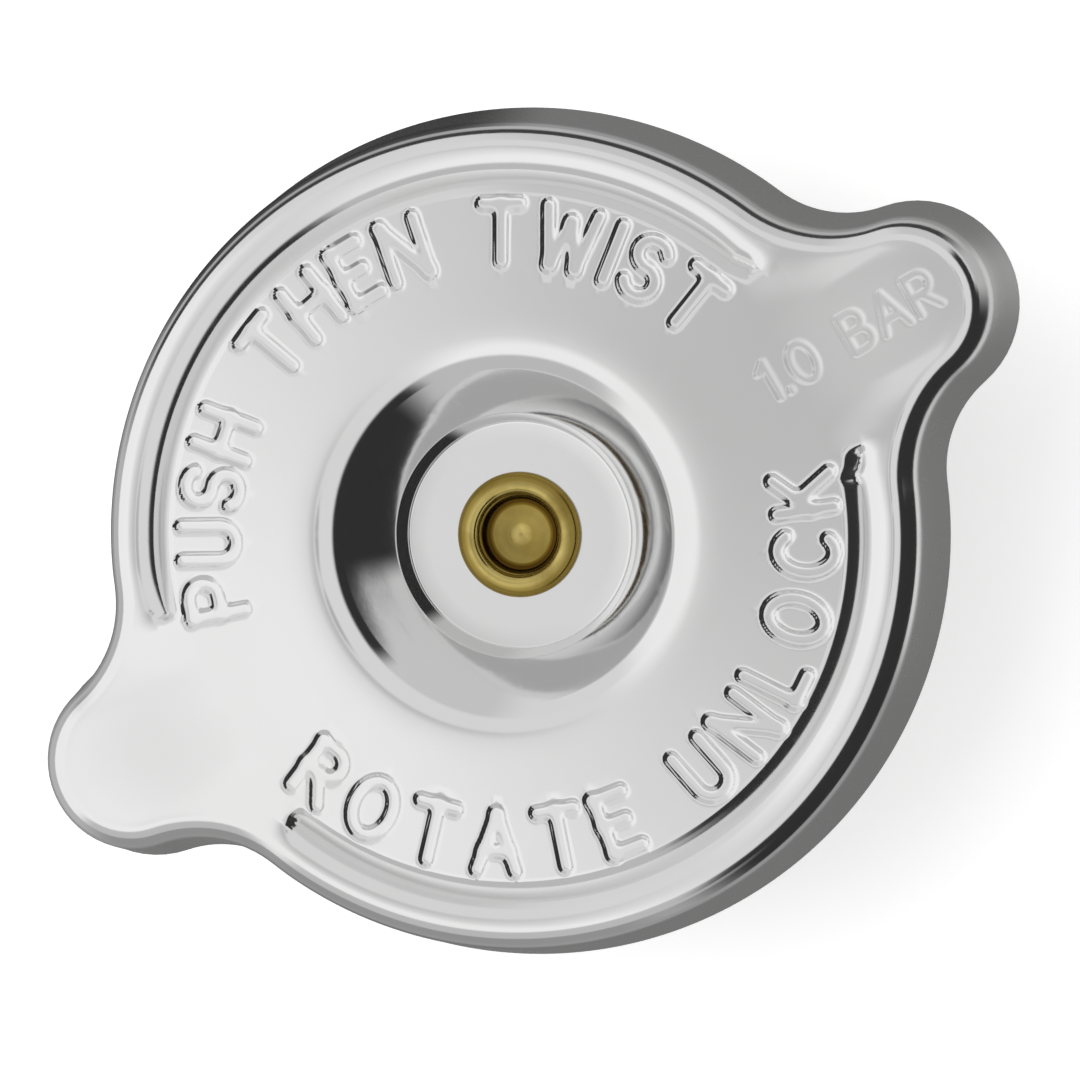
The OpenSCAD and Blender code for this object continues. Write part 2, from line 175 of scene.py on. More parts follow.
class CapFinishSettings(bpy.types.PropertyGroup):
    """Colours of the finishes."""
    plating: colour("Plating", "Bright plating of the shell", (0.86, 0.86, 0.86))
    # The darker colour of the skirt wall is painted shade for the dim floor it mirrors.
    plating_wall_shade: colour("Dull plating", "Plating on the drawn wall of the skirt", (0.78, 0.78, 0.77))
    brass: colour("Brass", "Turned brass of the rivet and the valves", (0.60, 0.48, 0.16))
    brass_dark: colour("Dark brass", "Tarnish on the brass", (0.22, 0.145, 0.022))
    # Painted shade in the corner of the rivet's cup, with some tarnishing.
    brass_deep_shade: colour("Deep brass", "Tarnish in the corner of the rivet's cup", (0.085, 0.045, 0.006))
    steel: colour("Steel", "Sheet steel and spring wire", (0.62, 0.62, 0.61))
    steel_dark: colour("Dark steel", "Oxide on the steel", (0.36, 0.35, 0.34))
    rubber: colour("Rubber", "Black rubber of the seals", (0.022, 0.022, 0.024))
    rubber_dust: colour("Dusty rubber", "Bloom on the rubber", (0.07, 0.07, 0.072))


class CapStageSettings(bpy.types.PropertyGroup):
    """Camera, light and floor."""
    tilt: angle("Tilt", "Angle of the view away from straight down", 12.22)
    azimuth: angle("Azimuth", "Direction of the camera around the axis", -16.93)
    roll: angle("Roll", "Angle of the ears in the picture", 30.56)
    distance: length("Distance", "Distance from the camera to the cap", 566.9 * MM)
    target_z: length("Target height", "Height on the axis that the view is measured at", 30.0 * MM)
    shift_right: length("Right of axis", "How far the picture's middle lies right of the axis", 1.658 * MM)
    shift_down: length("Below axis", "How far the picture's middle lies below the axis", 0.369 * MM)
    lens: bpy.props.FloatProperty(name="Lens", description="Focal length in millimetres", default=256.4)
    floor: colour("Floor", "Colour of the floor", (0.93, 0.93, 0.93))


# Shared mesh helpers

def smoothstep(low, high, x):
    t = np.clip((x - low) / (high - low), 0.0, 1.0)
    return t * t * (3.0 - 2.0 * t)


def arc(centre, radius, start, end, steps):
    """Points on an arc in degrees; radius may be a pair for an oval."""
    rx, ry = radius if isinstance(radius, tuple) else (radius, radius)
    turns = [math.radians(start + (end - start) * i / steps) for i in range(steps + 1)]
    return [(centre[0] + rx * math.cos(a), centre[1] + ry * math.sin(a)) for a in turns]


def rounded(corners, steps=4):
    """Closed section whose corners, given as (radius, height, rounding), are turned into arcs."""
    section = []
    for i, (r, z, rounding) in enumerate(corners):
        here = Vector((r, z))
        back = Vector(corners[i - 1][:2]) - here
        ahead = Vector(corners[(i + 1) % len(corners)][:2]) - here
        if rounding == 0.0:
            section.append((r, z))
            continue
        half = back.angle(ahead) / 2.0
        cut = min(rounding / math.tan(half), back.length * 0.48, ahead.length * 0.48)
        middle = here + (back.normalized() + ahead.normalized()).normalized() * (cut / math.cos(half))
        first = here + back.normalized() * cut - middle
        last = here + ahead.normalized() * cut - middle
        sweep = first.angle_signed(last)
        for k in range(steps + 1):
            p = middle + Matrix.Rotation(-sweep * k / steps, 2) @ first
            section.append((p.x, p.y))
    return section


def mesh_object(name, points, faces):
    mesh = bpy.data.meshes.new(name)
    mesh.from_pydata(points, [], faces)
    mesh.validate()
    obj = bpy.data.objects.new(name, mesh)
    bpy.context.scene.collection.objects.link(obj)
    return obj


def tidy_normals(obj):
    """Merge doubled points and turn all faces outwards."""
    bm = bmesh.new()
    bm.from_mesh(obj.data)
    bmesh.ops.remove_doubles(bm, verts=bm.verts, dist=1e-7)
    bmesh.ops.recalc_face_normals(bm, faces=bm.faces)
    bm.to_mesh(obj.data)
    bm.free()
    return obj


def turned(name, section, steps=180):
    """Solid of revolution about the axis from a closed section of (radius, height) points."""
    points = []
    for k in range(steps):
        c, s = math.cos(2 * math.pi * k / steps), math.sin(2 * math.pi * k / steps)
        points += [(max(r, 0.0) * c, max(r, 0.0) * s, z) for r, z in section]
    n = len(section)
    faces = []
    for k in range(steps):
        here, ahead = k * n, (k + 1) % steps * n
        for i in range(n):
            j = (i + 1) % n
            if section[i][0] > 0.0 or section[j][0] > 0.0:
                faces.append((here + i, here + j, ahead + j, ahead + i))
    return tidy_normals(mesh_object(name, points, faces))


def finish_piece(obj, body, material, slot, *nodes, crease=35.0):
    """Smooth a piece, give it its finish, and let it ride on its body in place of its nodes."""
    obj.data.shade_smooth()
    obj.data.set_sharp_from_angle(angle=math.radians(crease))
    obj.data.materials.clear()
    obj.data.materials.append(material)
    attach(obj, body)
    if nodes:
        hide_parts(*nodes)
    return obj


# Shared node helpers

def add(tree, kind, values=None, **settings):
    """Add a node, set its options, and link or set its inputs."""
    node = tree.nodes.new(kind)
    for key, value in settings.items():
        setattr(node, key, value)
    for key, value in (values or {}).items():
        if isinstance(value, bpy.types.NodeSocket):
            tree.links.new(value, node.inputs[key])
        else:
            node.inputs[key].default_value = value
    return node


def maths(tree, operation, a, b=0.0):
    return add(tree, "ShaderNodeMath", {0: a, 1: b}, operation=operation).outputs[0]


def tone_between(tree, share, first, second):
    return add(tree, "ShaderNodeMix", {0: share, 6: first, 7: second}, data_type="RGBA").outputs[2]


def level_between(tree, share, first, second):
    return add(tree, "ShaderNodeMix", {0: share, 2: first, 3: second}, data_type="FLOAT").outputs[0]


def ramp(tree, value, low, high, start=0.0, end=1.0, kind="SMOOTHSTEP"):
    """Change from one level to another as a value rises."""
    values = {"Value": value, 1: low, 2: high, 3: start, 4: end}
    return add(tree, "ShaderNodeMapRange", values, clamp=True, interpolation_type=kind).outputs[0]


def noise(tree, place, scale, detail):
    return add(tree, "ShaderNodeTexNoise", {"Vector": place, "Scale": scale, "Detail": detail}).outputs[0]


def own_place(tree):
    """Place on the piece itself."""
    return add(tree, "ShaderNodeTexCoord").outputs["Object"]


def levelled(tree, vector):
    """A vector without its height."""
    values = {0: vector, 1: (1.0, 1.0, 0.0)}
    return add(tree, "ShaderNodeVectorMath", values, operation="MULTIPLY").outputs[0]


def axis_radius(tree, place):
    """Distance from the axis of the cap."""
    values = {0: levelled(tree, place)}
    return add(tree, "ShaderNodeVectorMath", values, operation="LENGTH").outputs["Value"]


def height_of(tree, vector):
    return add(tree, "ShaderNodeSeparateXYZ", {0: vector}).outputs["Z"]


def embossed(tree, shader, height, distance):
    """Let a height raise the surface in the light."""
    relief = add(tree, "ShaderNodeBump", {"Height": height, "Strength": 1.0, "Distance": distance})
    tree.links.new(relief.outputs[0], shader.inputs["Normal"])


def group_tree(name, kind, inputs, outputs):
    """A node group with named sockets, and its input and output nodes."""
    tree = bpy.data.node_groups.new(name, kind)
    for label, socket in inputs:
        tree.interface.new_socket(label, in_out="INPUT", socket_type="NodeSocket" + socket)
    for label, socket in outputs:
        tree.interface.new_socket(label, in_out="OUTPUT", socket_type="NodeSocket" + socket)
    return tree, tree.nodes.new("NodeGroupInput").outputs, tree.nodes.new("NodeGroupOutput")


def grown(name, tree, values, base=None):
    """Plain mesh object that a Geometry Nodes tree makes from a base mesh and its named inputs."""
    source = base or mesh_object(name + "_source", [], [])
    modifier = source.modifiers.new("Grow", "NODES")
    modifier.node_group = tree
    for item in tree.interface.items_tree:
        if item.in_out == "INPUT" and item.name in values:
            modifier[item.identifier] = values[item.name]
    seen = source.evaluated_get(bpy.context.evaluated_depsgraph_get())
    obj = bpy.data.objects.new(name, bpy.data.meshes.new_from_object(seen))
    bpy.context.scene.collection.objects.link(obj)
    bpy.data.objects.remove(source)
    obj.name = name
    return obj


# Shader groups

def patina_group():
    """Slow stains between two colours."""
    tree, given, out = group_tree("Patina", "ShaderNodeTree", [
        ("Clean", "Color"), ("Stained", "Color"), ("Scale", "Float"), ("Cover", "Float")],
        [("Color", "Color"), ("Mask", "Float")])
    broad = noise(tree, own_place(tree), given["Scale"], 6.0)
    mask = ramp(tree, broad, 0.42, 0.78, 0.0, given["Cover"], "LINEAR")
    tree.links.new(tone_between(tree, mask, given["Clean"], given["Stained"]), out.inputs["Color"])
    tree.links.new(mask, out.inputs["Mask"])
    return tree


def scratch_group():
    """Fine straight scratches in three directions."""
    tree, given, out = group_tree(
        "Scratches", "ShaderNodeTree", [("Scale", "Float")], [("Mask", "Float")])
    place = own_place(tree)
    total = None
    for turn, cut in ((0.4, 0.66), (1.5, 0.68), (2.5, 0.67)):
        laid = add(tree, "ShaderNodeMapping", {
            "Vector": place, "Rotation": (0.0, 0.0, turn), "Scale": (1.0, 0.03, 1.0)}).outputs[0]
        mask = ramp(tree, noise(tree, laid, given["Scale"], 2.0), cut, cut + 0.06, kind="LINEAR")
        total = mask if total is None else maths(tree, "MAXIMUM", total, mask)
    tree.links.new(total, out.inputs["Mask"])
    return tree


def turned_group():
    """Fine rings left by turning, around the axis."""
    tree, given, out = group_tree(
        "Turned Rings", "ShaderNodeTree", [("Scale", "Float")], [("Height", "Float")])
    place = own_place(tree)
    across = add(tree, "ShaderNodeCombineXYZ", {
        "X": axis_radius(tree, place), "Y": height_of(tree, place)}).outputs[0]
    tree.links.new(noise(tree, across, given["Scale"], 3.0), out.inputs["Height"])
    return tree


def shader_groups():
    """The shared groups by name, built once."""
    makers = {"Patina": patina_group, "Scratches": scratch_group, "Turned Rings": turned_group}
    return {name: bpy.data.node_groups.get(name) or make() for name, make in makers.items()}


def placed(tree, name, values):
    return add(tree, "ShaderNodeGroup", values, node_tree=shader_groups()[name]).outputs


def new_material(name):
    """An empty node material with its Principled shader."""
    material = bpy.data.materials.new(name)
    material.use_nodes = True
    return material, material.node_tree, material.node_tree.nodes["Principled BSDF"]


def metal(name, clean, stained, rough, stain_scale, cover, scratch_scale, bump, rings=None):
    """Metal with stains, scratches and, where it was turned, fine rings."""
    material, tree, shader = new_material(name)
    stains = placed(tree, "Patina", {
        "Clean": tuple(clean), "Stained": tuple(stained), "Scale": stain_scale, "Cover": cover})
    lines = placed(tree, "Scratches", {"Scale": scratch_scale})["Mask"]
    worn = maths(tree, "MULTIPLY", stains["Mask"], 0.18)
    wear = maths(tree, "ADD", maths(tree, "MULTIPLY", lines, 0.06), worn)
    tree.links.new(maths(tree, "ADD", wear, rough), shader.inputs["Roughness"])
    tree.links.new(stains["Color"], shader.inputs["Base Color"])
    height = lines
    if rings:
        turning = placed(tree, "Turned Rings", {"Scale": rings})[0]
        height = maths(tree, "ADD", maths(tree, "MULTIPLY", lines, 0.3), turning)
    embossed(tree, shader, height, bump)
    shader.inputs["Metallic"].default_value = 1.0
    return material


def plating_material(finish, shell):
    """Bright plating that is duller and rougher down the drawn wall of the skirt, where its darker colour
    is painted shade.
    """
    material, tree, shader = new_material("shell_plating")
    stains = placed(tree, "Patina", {
        "Clean": tuple(finish.plating), "Stained": (0.80, 0.80, 0.79, 1.0), "Scale": 70.0, "Cover": 0.6})
    place = own_place(tree)
    radius = axis_radius(tree, place)
    top = SHELL_HIGH.z
    low = ramp(tree, height_of(tree, place), top - shell.shoulder_h, top - 0.6 * shell.shoulder_h, 1.0, 0.0)
    # The skirt wall: rougher there, and darker in colour as painted shade.
    drawn = maths(tree, "MULTIPLY", low, maths(tree, "GREATER_THAN", radius, 26.0 * MM))
    tone = tone_between(tree, drawn, stains["Color"], tuple(finish.plating_wall_shade))
    tree.links.new(tone, shader.inputs["Base Color"])
    lines = placed(tree, "Scratches", {"Scale": 900.0})["Mask"]
    rough = ramp(tree, radius, 11.5 * MM, 14.5 * MM, 0.06, 0.11, "LINEAR")
    for mask, more in ((stains["Mask"], 0.05), (lines, 0.03), (drawn, 0.14)):
        rough = maths(tree, "ADD", rough, maths(tree, "MULTIPLY", mask, more))
    tree.links.new(rough, shader.inputs["Roughness"])
    skin = noise(tree, place, 900.0, 3.0)
    embossed(tree, shader, maths(tree, "ADD", maths(tree, "MULTIPLY", lines, 0.25), skin), 0.0018 * MM)
    shader.inputs["Metallic"].default_value = 1.0
    return material


def rubber_material(name, finish):
    """Moulded rubber with a fine skin and a pale bloom."""
    material, tree, shader = new_material(name)
    stains = placed(tree, "Patina", {
        "Clean": tuple(finish.rubber), "Stained": tuple(finish.rubber_dust), "Scale": 260.0, "Cover": 0.8})
    tree.links.new(stains["Color"], shader.inputs["Base Color"])
    rough = maths(tree, "ADD", maths(tree, "MULTIPLY", stains["Mask"], 0.2), 0.52)
    tree.links.new(rough, shader.inputs["Roughness"])
    embossed(tree, shader, noise(tree, own_place(tree), 3000.0, 4.0), 0.02 * MM)
    return material


def brass_material(name, finish):
    return metal(name, finish.brass, finish.brass_dark,
        0.14, 420.0, 0.7, 2600.0, 0.005 * MM, rings=5200.0)


# Painted light and shade on the rivet with some tarnishing, by radius in millimetres, from clean (0) to
# deep (1): the clean dimple and crest are painted highlights; the darker cup floor, the dark corner ring
# and the outer slope are painted shade
RIVET_TARNISH_AND_PAINTED_LIGHT = ((0.0, 0.0), (0.5, 0.0), (0.85, 0.3), (2.15, 0.3), (2.42, 1.0), (2.84, 1.0),
    (2.95, 0.4), (3.25, 0.0), (3.7, 0.0), (4.05, 0.36), (4.4, 0.42))


def rivet_material(finish):
    """Brass by radius, with painted highlights on the dimple and the crest of the rolled edge and painted
    shade in the cup, its corner and on the outer slope, with some tarnishing; in mirrored rays the edge
    takes the plating's colour, a painted reflection, so the plated well mirrors it untinted.
    """
    material = brass_material("rivet_brass", finish)
    tree = material.node_tree
    shader = tree.nodes["Principled BSDF"]
    brass = shader.inputs["Base Color"].links[0].from_socket
    radius = axis_radius(tree, own_place(tree))
    rings = placed(tree, "Turned Rings", {"Scale": 3600.0})[0]
    uneven = maths(tree, "MULTIPLY", maths(tree, "SUBTRACT", rings, 0.5), 0.3 * MM)
    full = RIVET_TARNISH_AND_PAINTED_LIGHT[-1][0]
    across = maths(tree, "DIVIDE", maths(tree, "ADD", radius, uneven), full * MM)
    tarnish_and_painted_light = add(tree, "ShaderNodeValToRGB", {0: across})
    stops = tarnish_and_painted_light.color_ramp.elements
    for r, _ in RIVET_TARNISH_AND_PAINTED_LIGHT[1:-1]:
        stops.new(r / full)
    for stop, (_, amount) in zip(stops, RIVET_TARNISH_AND_PAINTED_LIGHT):
        stop.color = (amount, amount, amount, 1.0)
    # Darken to the dark brass colour, then to the painted shade of the cup's corner.
    for low, high, tone in ((0.0, 0.5, finish.brass_dark), (0.5, 1.0, finish.brass_deep_shade)):
        cover = ramp(tree, tarnish_and_painted_light.outputs[0], low, high, kind="LINEAR")
        brass = tone_between(tree, cover, brass, tuple(tone))
    # Mirrored rays see the rolled edge in the plating's colour: a painted reflection.
    edge = maths(tree, "GREATER_THAN", radius, 2.9 * MM)
    mirrored = add(tree, "ShaderNodeLightPath").outputs["Is Glossy Ray"]
    mirrored = maths(tree, "MULTIPLY", mirrored, edge)
    tree.links.new(tone_between(tree, mirrored, brass, tuple(finish.plating)), shader.inputs["Base Color"])
    return material


def steel_material(name, finish, rough):
    return metal(name, finish.steel, finish.steel_dark, rough, 240.0, 0.6, 1800.0, 0.006 * MM)


# Shell

# Points round an ear, a blend and half the body; the lettered field has FINE times as many
EAR_SPOKES, BLEND_SPOKES, BODY_SPOKES = 24, 15, 126
FINE = 3
# Degrees from the nearest ear at which the pressed arcs end: by the marked ear, and by the plain one
MARKED_END, PLAIN_END_UP, PLAIN_END_LOW = 15.4, 16.0, 21.0
ARC_END_W = 1.6


class ShellForm:
    """Outline, section and upper face of the pressed shell, worked out from its settings."""

    def __init__(self, s):
        self.s = s
        self.lip_z = SHELL_HIGH.z
        self.edge_z = self.lip_z - s.shell_h
        self.rim_z = self.lip_z - s.rim_drop
        self.floor_z = self.lip_z - s.well_depth
        step, slope = s.step_slope, s.well_slope
        straight = s.step_h - s.well_corner * (1.0 - math.cos(step))
        step_r = s.well_floor_r + s.well_corner * math.sin(step) + straight / math.tan(step)
        self.knee = np.array([step_r, self.floor_z + s.step_h])
        self.knee += s.well_knee * np.array([math.sin(step), -math.cos(step)])
        rise = self.lip_z - s.well_lip - self.knee[1] + (s.well_lip - s.well_knee) * math.cos(slope)
        self.lip_r = self.knee[0] + rise / math.tan(slope) + (s.well_lip - s.well_knee) * math.sin(slope)
        self.ear_x = s.ear_reach - s.ear_r
        outer, tip = s.body_r + s.blend_r, s.ear_r + s.blend_r
        self.blend_x = (outer ** 2 - tip ** 2 + self.ear_x ** 2) / (2.0 * self.ear_x)
        self.blend_y = math.sqrt(outer ** 2 - self.blend_x ** 2)
        self.body_a = math.degrees(math.atan2(self.blend_y, self.blend_x))
        self.ear_a = math.degrees(math.atan2(self.blend_y, self.blend_x - self.ear_x))
        self.rim_inset = s.flare + s.shoulder_w
        self.rim_r0 = s.body_r - self.rim_inset
        rim = self.outline(self.rim_inset)
        self.spokes = np.unwrap(np.arctan2(rim[:, 1], rim[:, 0]))
        self.rim_r = np.hypot(rim[:, 0], rim[:, 1])

    def outline(self, inset):
        """Outline of the shell lying in by an inset, counter-clockwise from the lower side of an ear."""
        s = self.s
        half = (arc((self.ear_x, 0.0), s.ear_r - inset, -self.ear_a, self.ear_a, EAR_SPOKES)[:-1]
            + arc((self.blend_x, self.blend_y), s.blend_r + inset,
                180.0 + self.ear_a, 180.0 + self.body_a, BLEND_SPOKES)[:-1]
            + arc((0.0, 0.0), s.body_r - inset, self.body_a, 180.0 - self.body_a, BODY_SPOKES)[:-1]
            + arc((-self.blend_x, self.blend_y), s.blend_r + inset,
                360.0 - self.body_a, 360.0 - self.ear_a, BLEND_SPOKES)[:-1])
        half = np.array(half)
        return np.concatenate([half, -half])

    def to_ear(self, turn):
        """Angle in degrees from the nearest ear."""
        return np.abs((np.degrees(turn) + 90.0) % 180.0 - 90.0)

    def crest(self, turn):
        """Height of the outer rim, which falls towards the tips of the ears."""
        return self.rim_z - self.s.ear_fall * (1.0 - smoothstep(10.0, 27.0, self.to_ear(turn)))

    def groove(self, turn):
        """Radius of the groove, with a half arrowhead at the end of each arc by the marked ear."""
        r = self.s.groove_r
        turned_out = np.interp(self.to_ear(turn), [MARKED_END, 20.2], [0.7 * MM, 0.0])
        turned_in = np.interp(self.to_ear(turn), [18.6, 20.2, 21.3], [0.0, 0.25 * MM, 0.0])
        barbed = r + turned_out - np.where(np.sin(turn) < 0.0, turned_in, 0.0)
        return np.where(np.cos(turn) > 0.0, barbed, r)

    def field(self, r):
        """Height of the field, which falls from the lip of the well like a shallow cone."""
        s = self.s
        fall = s.field_drop / (math.hypot(s.groove_r - s.roll_w - self.lip_r, s.crown_soft) - s.crown_soft)
        out = np.clip(r - self.lip_r, 0.0, None)
        return self.lip_z - fall * (np.hypot(out, s.crown_soft) - s.crown_soft)

    def upper_face(self, r, turn):
        """Height of the upper face outside the lip of the well, without its letters."""
        s = self.s
        to_ear, crest, edge = self.to_ear(turn), self.crest(turn), self.groove(turn)
        field = self.field(r)
        soft, steep = 0.15, 0.75
        t = np.clip((r - edge) / s.roll_w + 1.0, 0.0, 1.0)
        roll = field - s.roll_drop * (np.hypot(t, soft) - soft) / (math.hypot(1.0, soft) - soft)
        low = self.field(edge) - s.roll_drop
        x = steep * np.clip((self.rim_r0 - r) / (self.rim_r0 - edge), 0.0, 1.0)
        wall = crest - (crest - low) * (1.0 - np.sqrt(1.0 - x * x)) / (1.0 - math.sqrt(1.0 - steep ** 2))
        plain_end = np.where(np.sin(turn) > 0.0, PLAIN_END_UP, PLAIN_END_LOW)
        start = np.where(np.cos(turn) > 0.0, MARKED_END, plain_end)
        pressed = smoothstep(start, start + ARC_END_W, to_ear)
        face = field + (np.where(r > edge, wall, roll) - field) * pressed
        rim = np.interp(turn, self.spokes, self.rim_r, period=2 * math.pi)
        level = smoothstep(self.rim_r0 - 4.0 * MM, np.maximum(rim, self.rim_r0), r)
        return face + (crest - self.field(rim)) * level * (1.0 - pressed)

    def well_section(self, depth, lip_steps):
        """Section of the well from the rivet hole to its lip, lying below the upper face by a depth."""
        s = self.s
        step, slope = math.degrees(s.step_slope), math.degrees(s.well_slope)
        floor = [(s.hole_r + (s.well_floor_r - s.hole_r) * i / 4, self.floor_z - depth) for i in range(4)]
        bend = (s.well_floor_r, self.floor_z + s.well_corner)
        corner = arc(bend, s.well_corner + depth, -90.0, step - 90.0, 5)
        if depth < s.well_knee:
            knee = arc(self.knee, s.well_knee - depth, 90.0 + step, 90.0 + slope, 5)
        else:
            sides = [[math.sin(a), -math.cos(a)] for a in (s.step_slope, s.well_slope)]
            knee = [tuple(self.knee + np.linalg.solve(sides, [depth - s.well_knee] * 2))]
        lip = arc((self.lip_r, self.lip_z - s.well_lip), s.well_lip - depth, 90.0 + slope, 90.0, lip_steps)
        wall = [tuple(np.array(knee[-1]) + (np.array(lip[0]) - knee[-1]) * k / 3) for k in (1, 2)]
        return floor + corner + knee + wall + lip

    def skirt_levels(self, depth, steps):
        """Insets and heights from the rim over the shoulder to the open edge."""
        s = self.s
        wall = self.rim_z - self.edge_z - s.shoulder_h
        start = math.degrees(math.atan(s.flare / wall * s.shoulder_h / s.shoulder_w))
        turns = [math.radians(90.0 + (start - 90.0) * i / steps) for i in range(steps + 1)]
        levels = [(self.rim_inset - (s.shoulder_w - depth) * math.cos(a),
            self.rim_z - s.shoulder_h + (s.shoulder_h - depth) * math.sin(a)) for a in turns]
        low, high = (depth, self.edge_z), levels[-1]
        return levels + [tuple(np.array(high) + (np.array(low) - high) * k / 4) for k in (1, 2, 3)]


def line(*points):
    """Straight strokes from point to point."""
    return [[a, b] for a, b in zip(points, points[1:])]


def bowl(x, low, high, width):
    """Round stroke of a P or B: out from a stem, round and back."""
    middle, r = (low + high) / 2, (high - low) / 2
    return [[(x, high)] + arc((x + width - r, middle), (r, r), 90, -90, 10) + [(x, low)]]


GLYPHS = {
    "A": (0.70, line((0, 0), (0.35, 1), (0.70, 0)) + line((0.14, 0.34), (0.56, 0.34))),
    "B": (0.58, line((0, 0), (0, 1)) + bowl(0, 0.52, 1, 0.52) + bowl(0, 0, 0.52, 0.58)),
    "C": (0.62, [arc((0.36, 0.5), (0.36, 0.5), 48, 312, 18)]),
    "E": (0.54, line((0.54, 1), (0, 1), (0, 0), (0.54, 0)) + line((0, 0.52), (0.44, 0.52))),
    "H": (0.62, line((0, 0), (0, 1)) + line((0.62, 0), (0.62, 1)) + line((0, 0.52), (0.62, 0.52))),
    "I": (0.0, line((0, 0), (0, 1))),
    "K": (0.60, line((0, 0), (0, 1)) + line((0.58, 1), (0, 0.40)) + line((0.20, 0.60), (0.60, 0))),
    "L": (0.50, line((0, 1), (0, 0), (0.50, 0))),
    "N": (0.64, line((0, 0), (0, 1), (0.64, 0), (0.64, 1))),
    "O": (0.70, [arc((0.35, 0.5), (0.35, 0.5), 0, 360, 24)]),
    "P": (0.58, line((0, 0), (0, 1)) + bowl(0, 0.45, 1, 0.58)),
    "R": (0.60, line((0, 0), (0, 1)) + bowl(0, 0.47, 1, 0.58) + line((0.26, 0.47), (0.60, 0))),
    "S": (0.56, [arc((0.28, 0.755), (0.27, 0.245), 25, 270, 14)
        + arc((0.28, 0.255), (0.28, 0.255), 90, -155, 14)]),
    "T": (0.66, line((0, 1), (0.66, 1)) + line((0.33, 1), (0.33, 0))),
    "U": (0.60, [[(0, 1)] + arc((0.30, 0.30), (0.30, 0.30), 180, 360, 12) + [(0.60, 1)]]),
    "W": (0.92, line((0, 1), (0.23, 0), (0.46, 0.80), (0.69, 0), (0.92, 1))),
    "0": (0.62, [arc((0.31, 0.5), (0.31, 0.5), 0, 360, 22)]),
    "1": (0.22, line((0, 0.80), (0.22, 1), (0.22, 0))),
    ".": (0.0, line((0, 0), (0, 0.06))),
}
# Gaps in letter heights, and middle and span of each arc of words in degrees
LETTER_GAP = 0.30
WORD_GAP = 0.66
CLOSE_ARC = (91.0, 148.0)
OPEN_ARC = (269.7, 145.0)


def word_places(words):
    """Each letter with the place of its left side, in letter heights, and the full width."""
    places, x = [], 0.0
    for letter in words:
        if letter == " ":
            x += WORD_GAP
            continue
        places.append((letter, x))
        x += GLYPHS[letter][0] + LETTER_GAP
    return places, x - LETTER_GAP


def arc_letters(words, middle, span, foot, height, outward):
    """Strokes of each letter in the plane, set round an arc whose middle and span are in degrees."""
    places, width = word_places(words)
    letters = []
    for letter, x in places:
        wide, strokes = GLYPHS[letter]
        along = (x + wide / 2) / width - 0.5
        turn = math.radians(middle - span * along if outward else middle + span * along)
        up = Vector((math.cos(turn), math.sin(turn)))
        side = Vector((up.y, -up.x))
        if not outward:
            up, side = -up, -side
        base = (foot if outward else foot + height) * (up if outward else -up)
        letters.append([np.array([base + height * ((px - wide / 2) * side + py * up) for px, py in stroke])
            for stroke in strokes])
    return letters


def stroke_distance(points, stroke):
    """Distance of each point from a stroke given as a run of straight pieces."""
    best = np.full(len(points), 1.0)
    for a, b in zip(stroke, stroke[1:]):
        along = b - a
        if not along.any():
            continue
        t = np.clip((points - a) @ along / (along @ along), 0.0, 1.0)
        best = np.minimum(best, np.linalg.norm(points - a - t[:, None] * along, axis=1))
    return best


def pressed_in(points, letters, depth, floor_w, edge_w, web):
    """Depth of the pressed letters at each point of the upper face."""
    below = np.zeros(len(points))
    for strokes in letters:
        corners = np.concatenate(strokes)
        low, high = corners.min(0) - edge_w, corners.max(0) + edge_w
        near = ((points > low) & (points < high)).all(1)
        local = points[near]
        joined = np.full(len(local), 1.0)
        for stroke in strokes:
            d = stroke_distance(local, stroke)
            together = np.clip(web - np.abs(joined - d), 0.0, None) / web
            joined = np.minimum(joined, d) - together ** 2 * web / 4
        t = np.clip((joined - floor_w) / (edge_w - floor_w), 0.0, 1.0)
        below[near] = np.maximum(below[near], depth * 0.5 * (1.0 + np.cos(math.pi * t)))
    return below


def ear_letters(marks):
    """Strokes of the pressure mark, along the ear."""
    places, width = word_places(marks.ear_words)
    h = marks.ear_letter_h
    middle = np.array((marks.ear_middle, 0.0))
    return [[middle + h * (np.array(stroke) + (x - width / 2, -0.5)) for stroke in GLYPHS[letter][1]]
        for letter, x in places]


def all_words(points, marks):
    """Depth of all the words at each point of the upper face."""
    arcs = arc_letters(marks.close_words, *CLOSE_ARC, marks.foot_r, marks.letter_h, True)
    arcs += arc_letters(marks.open_words, *OPEN_ARC, marks.foot_r, marks.letter_h, False)
    below = pressed_in(points, arcs, marks.depth, marks.floor_w, marks.edge_w, marks.web)
    return below + pressed_in(points, ear_letters(marks), marks.ear_depth,
        marks.ear_floor_w, marks.ear_edge_w, 0.1 * marks.web)


def stitch(first, second, start_first, start_second):
    """Faces between two rings of points, where one may have FINE times as many as the other."""
    i = np.arange(first)
    if first == second:
        j = (i + 1) % first
        return np.stack([start_first + i, start_second + i, start_second + j, start_first + j], 1).tolist()
    few, many = min(first, second), max(first, second)
    faces = []
    for k in range(few):
        inner = (start_first if first == few else start_second) + np.array([k, (k + 1) % few])
        outer = np.arange(FINE * k, FINE * k + FINE + 1) % many
        outer = (start_second if first == few else start_first) + outer
        run = [[inner[0], outer[0], outer[1]],
            [inner[0], outer[1], outer[2], inner[1]],
            [inner[1], outer[2], outer[3]]]
        faces += [[int(v) for v in (f if first == few else f[::-1])] for f in run]
    return faces


def ring_solid(rings):
    """Points and faces of a closed skin through a loop of rings."""
    starts = np.cumsum([0] + [len(r) for r in rings])
    faces = []
    for k, ring in enumerate(rings):
        ahead = (k + 1) % len(rings)
        faces += stitch(len(ring), len(rings[ahead]), starts[k], starts[ahead])
    return np.concatenate(rings), faces


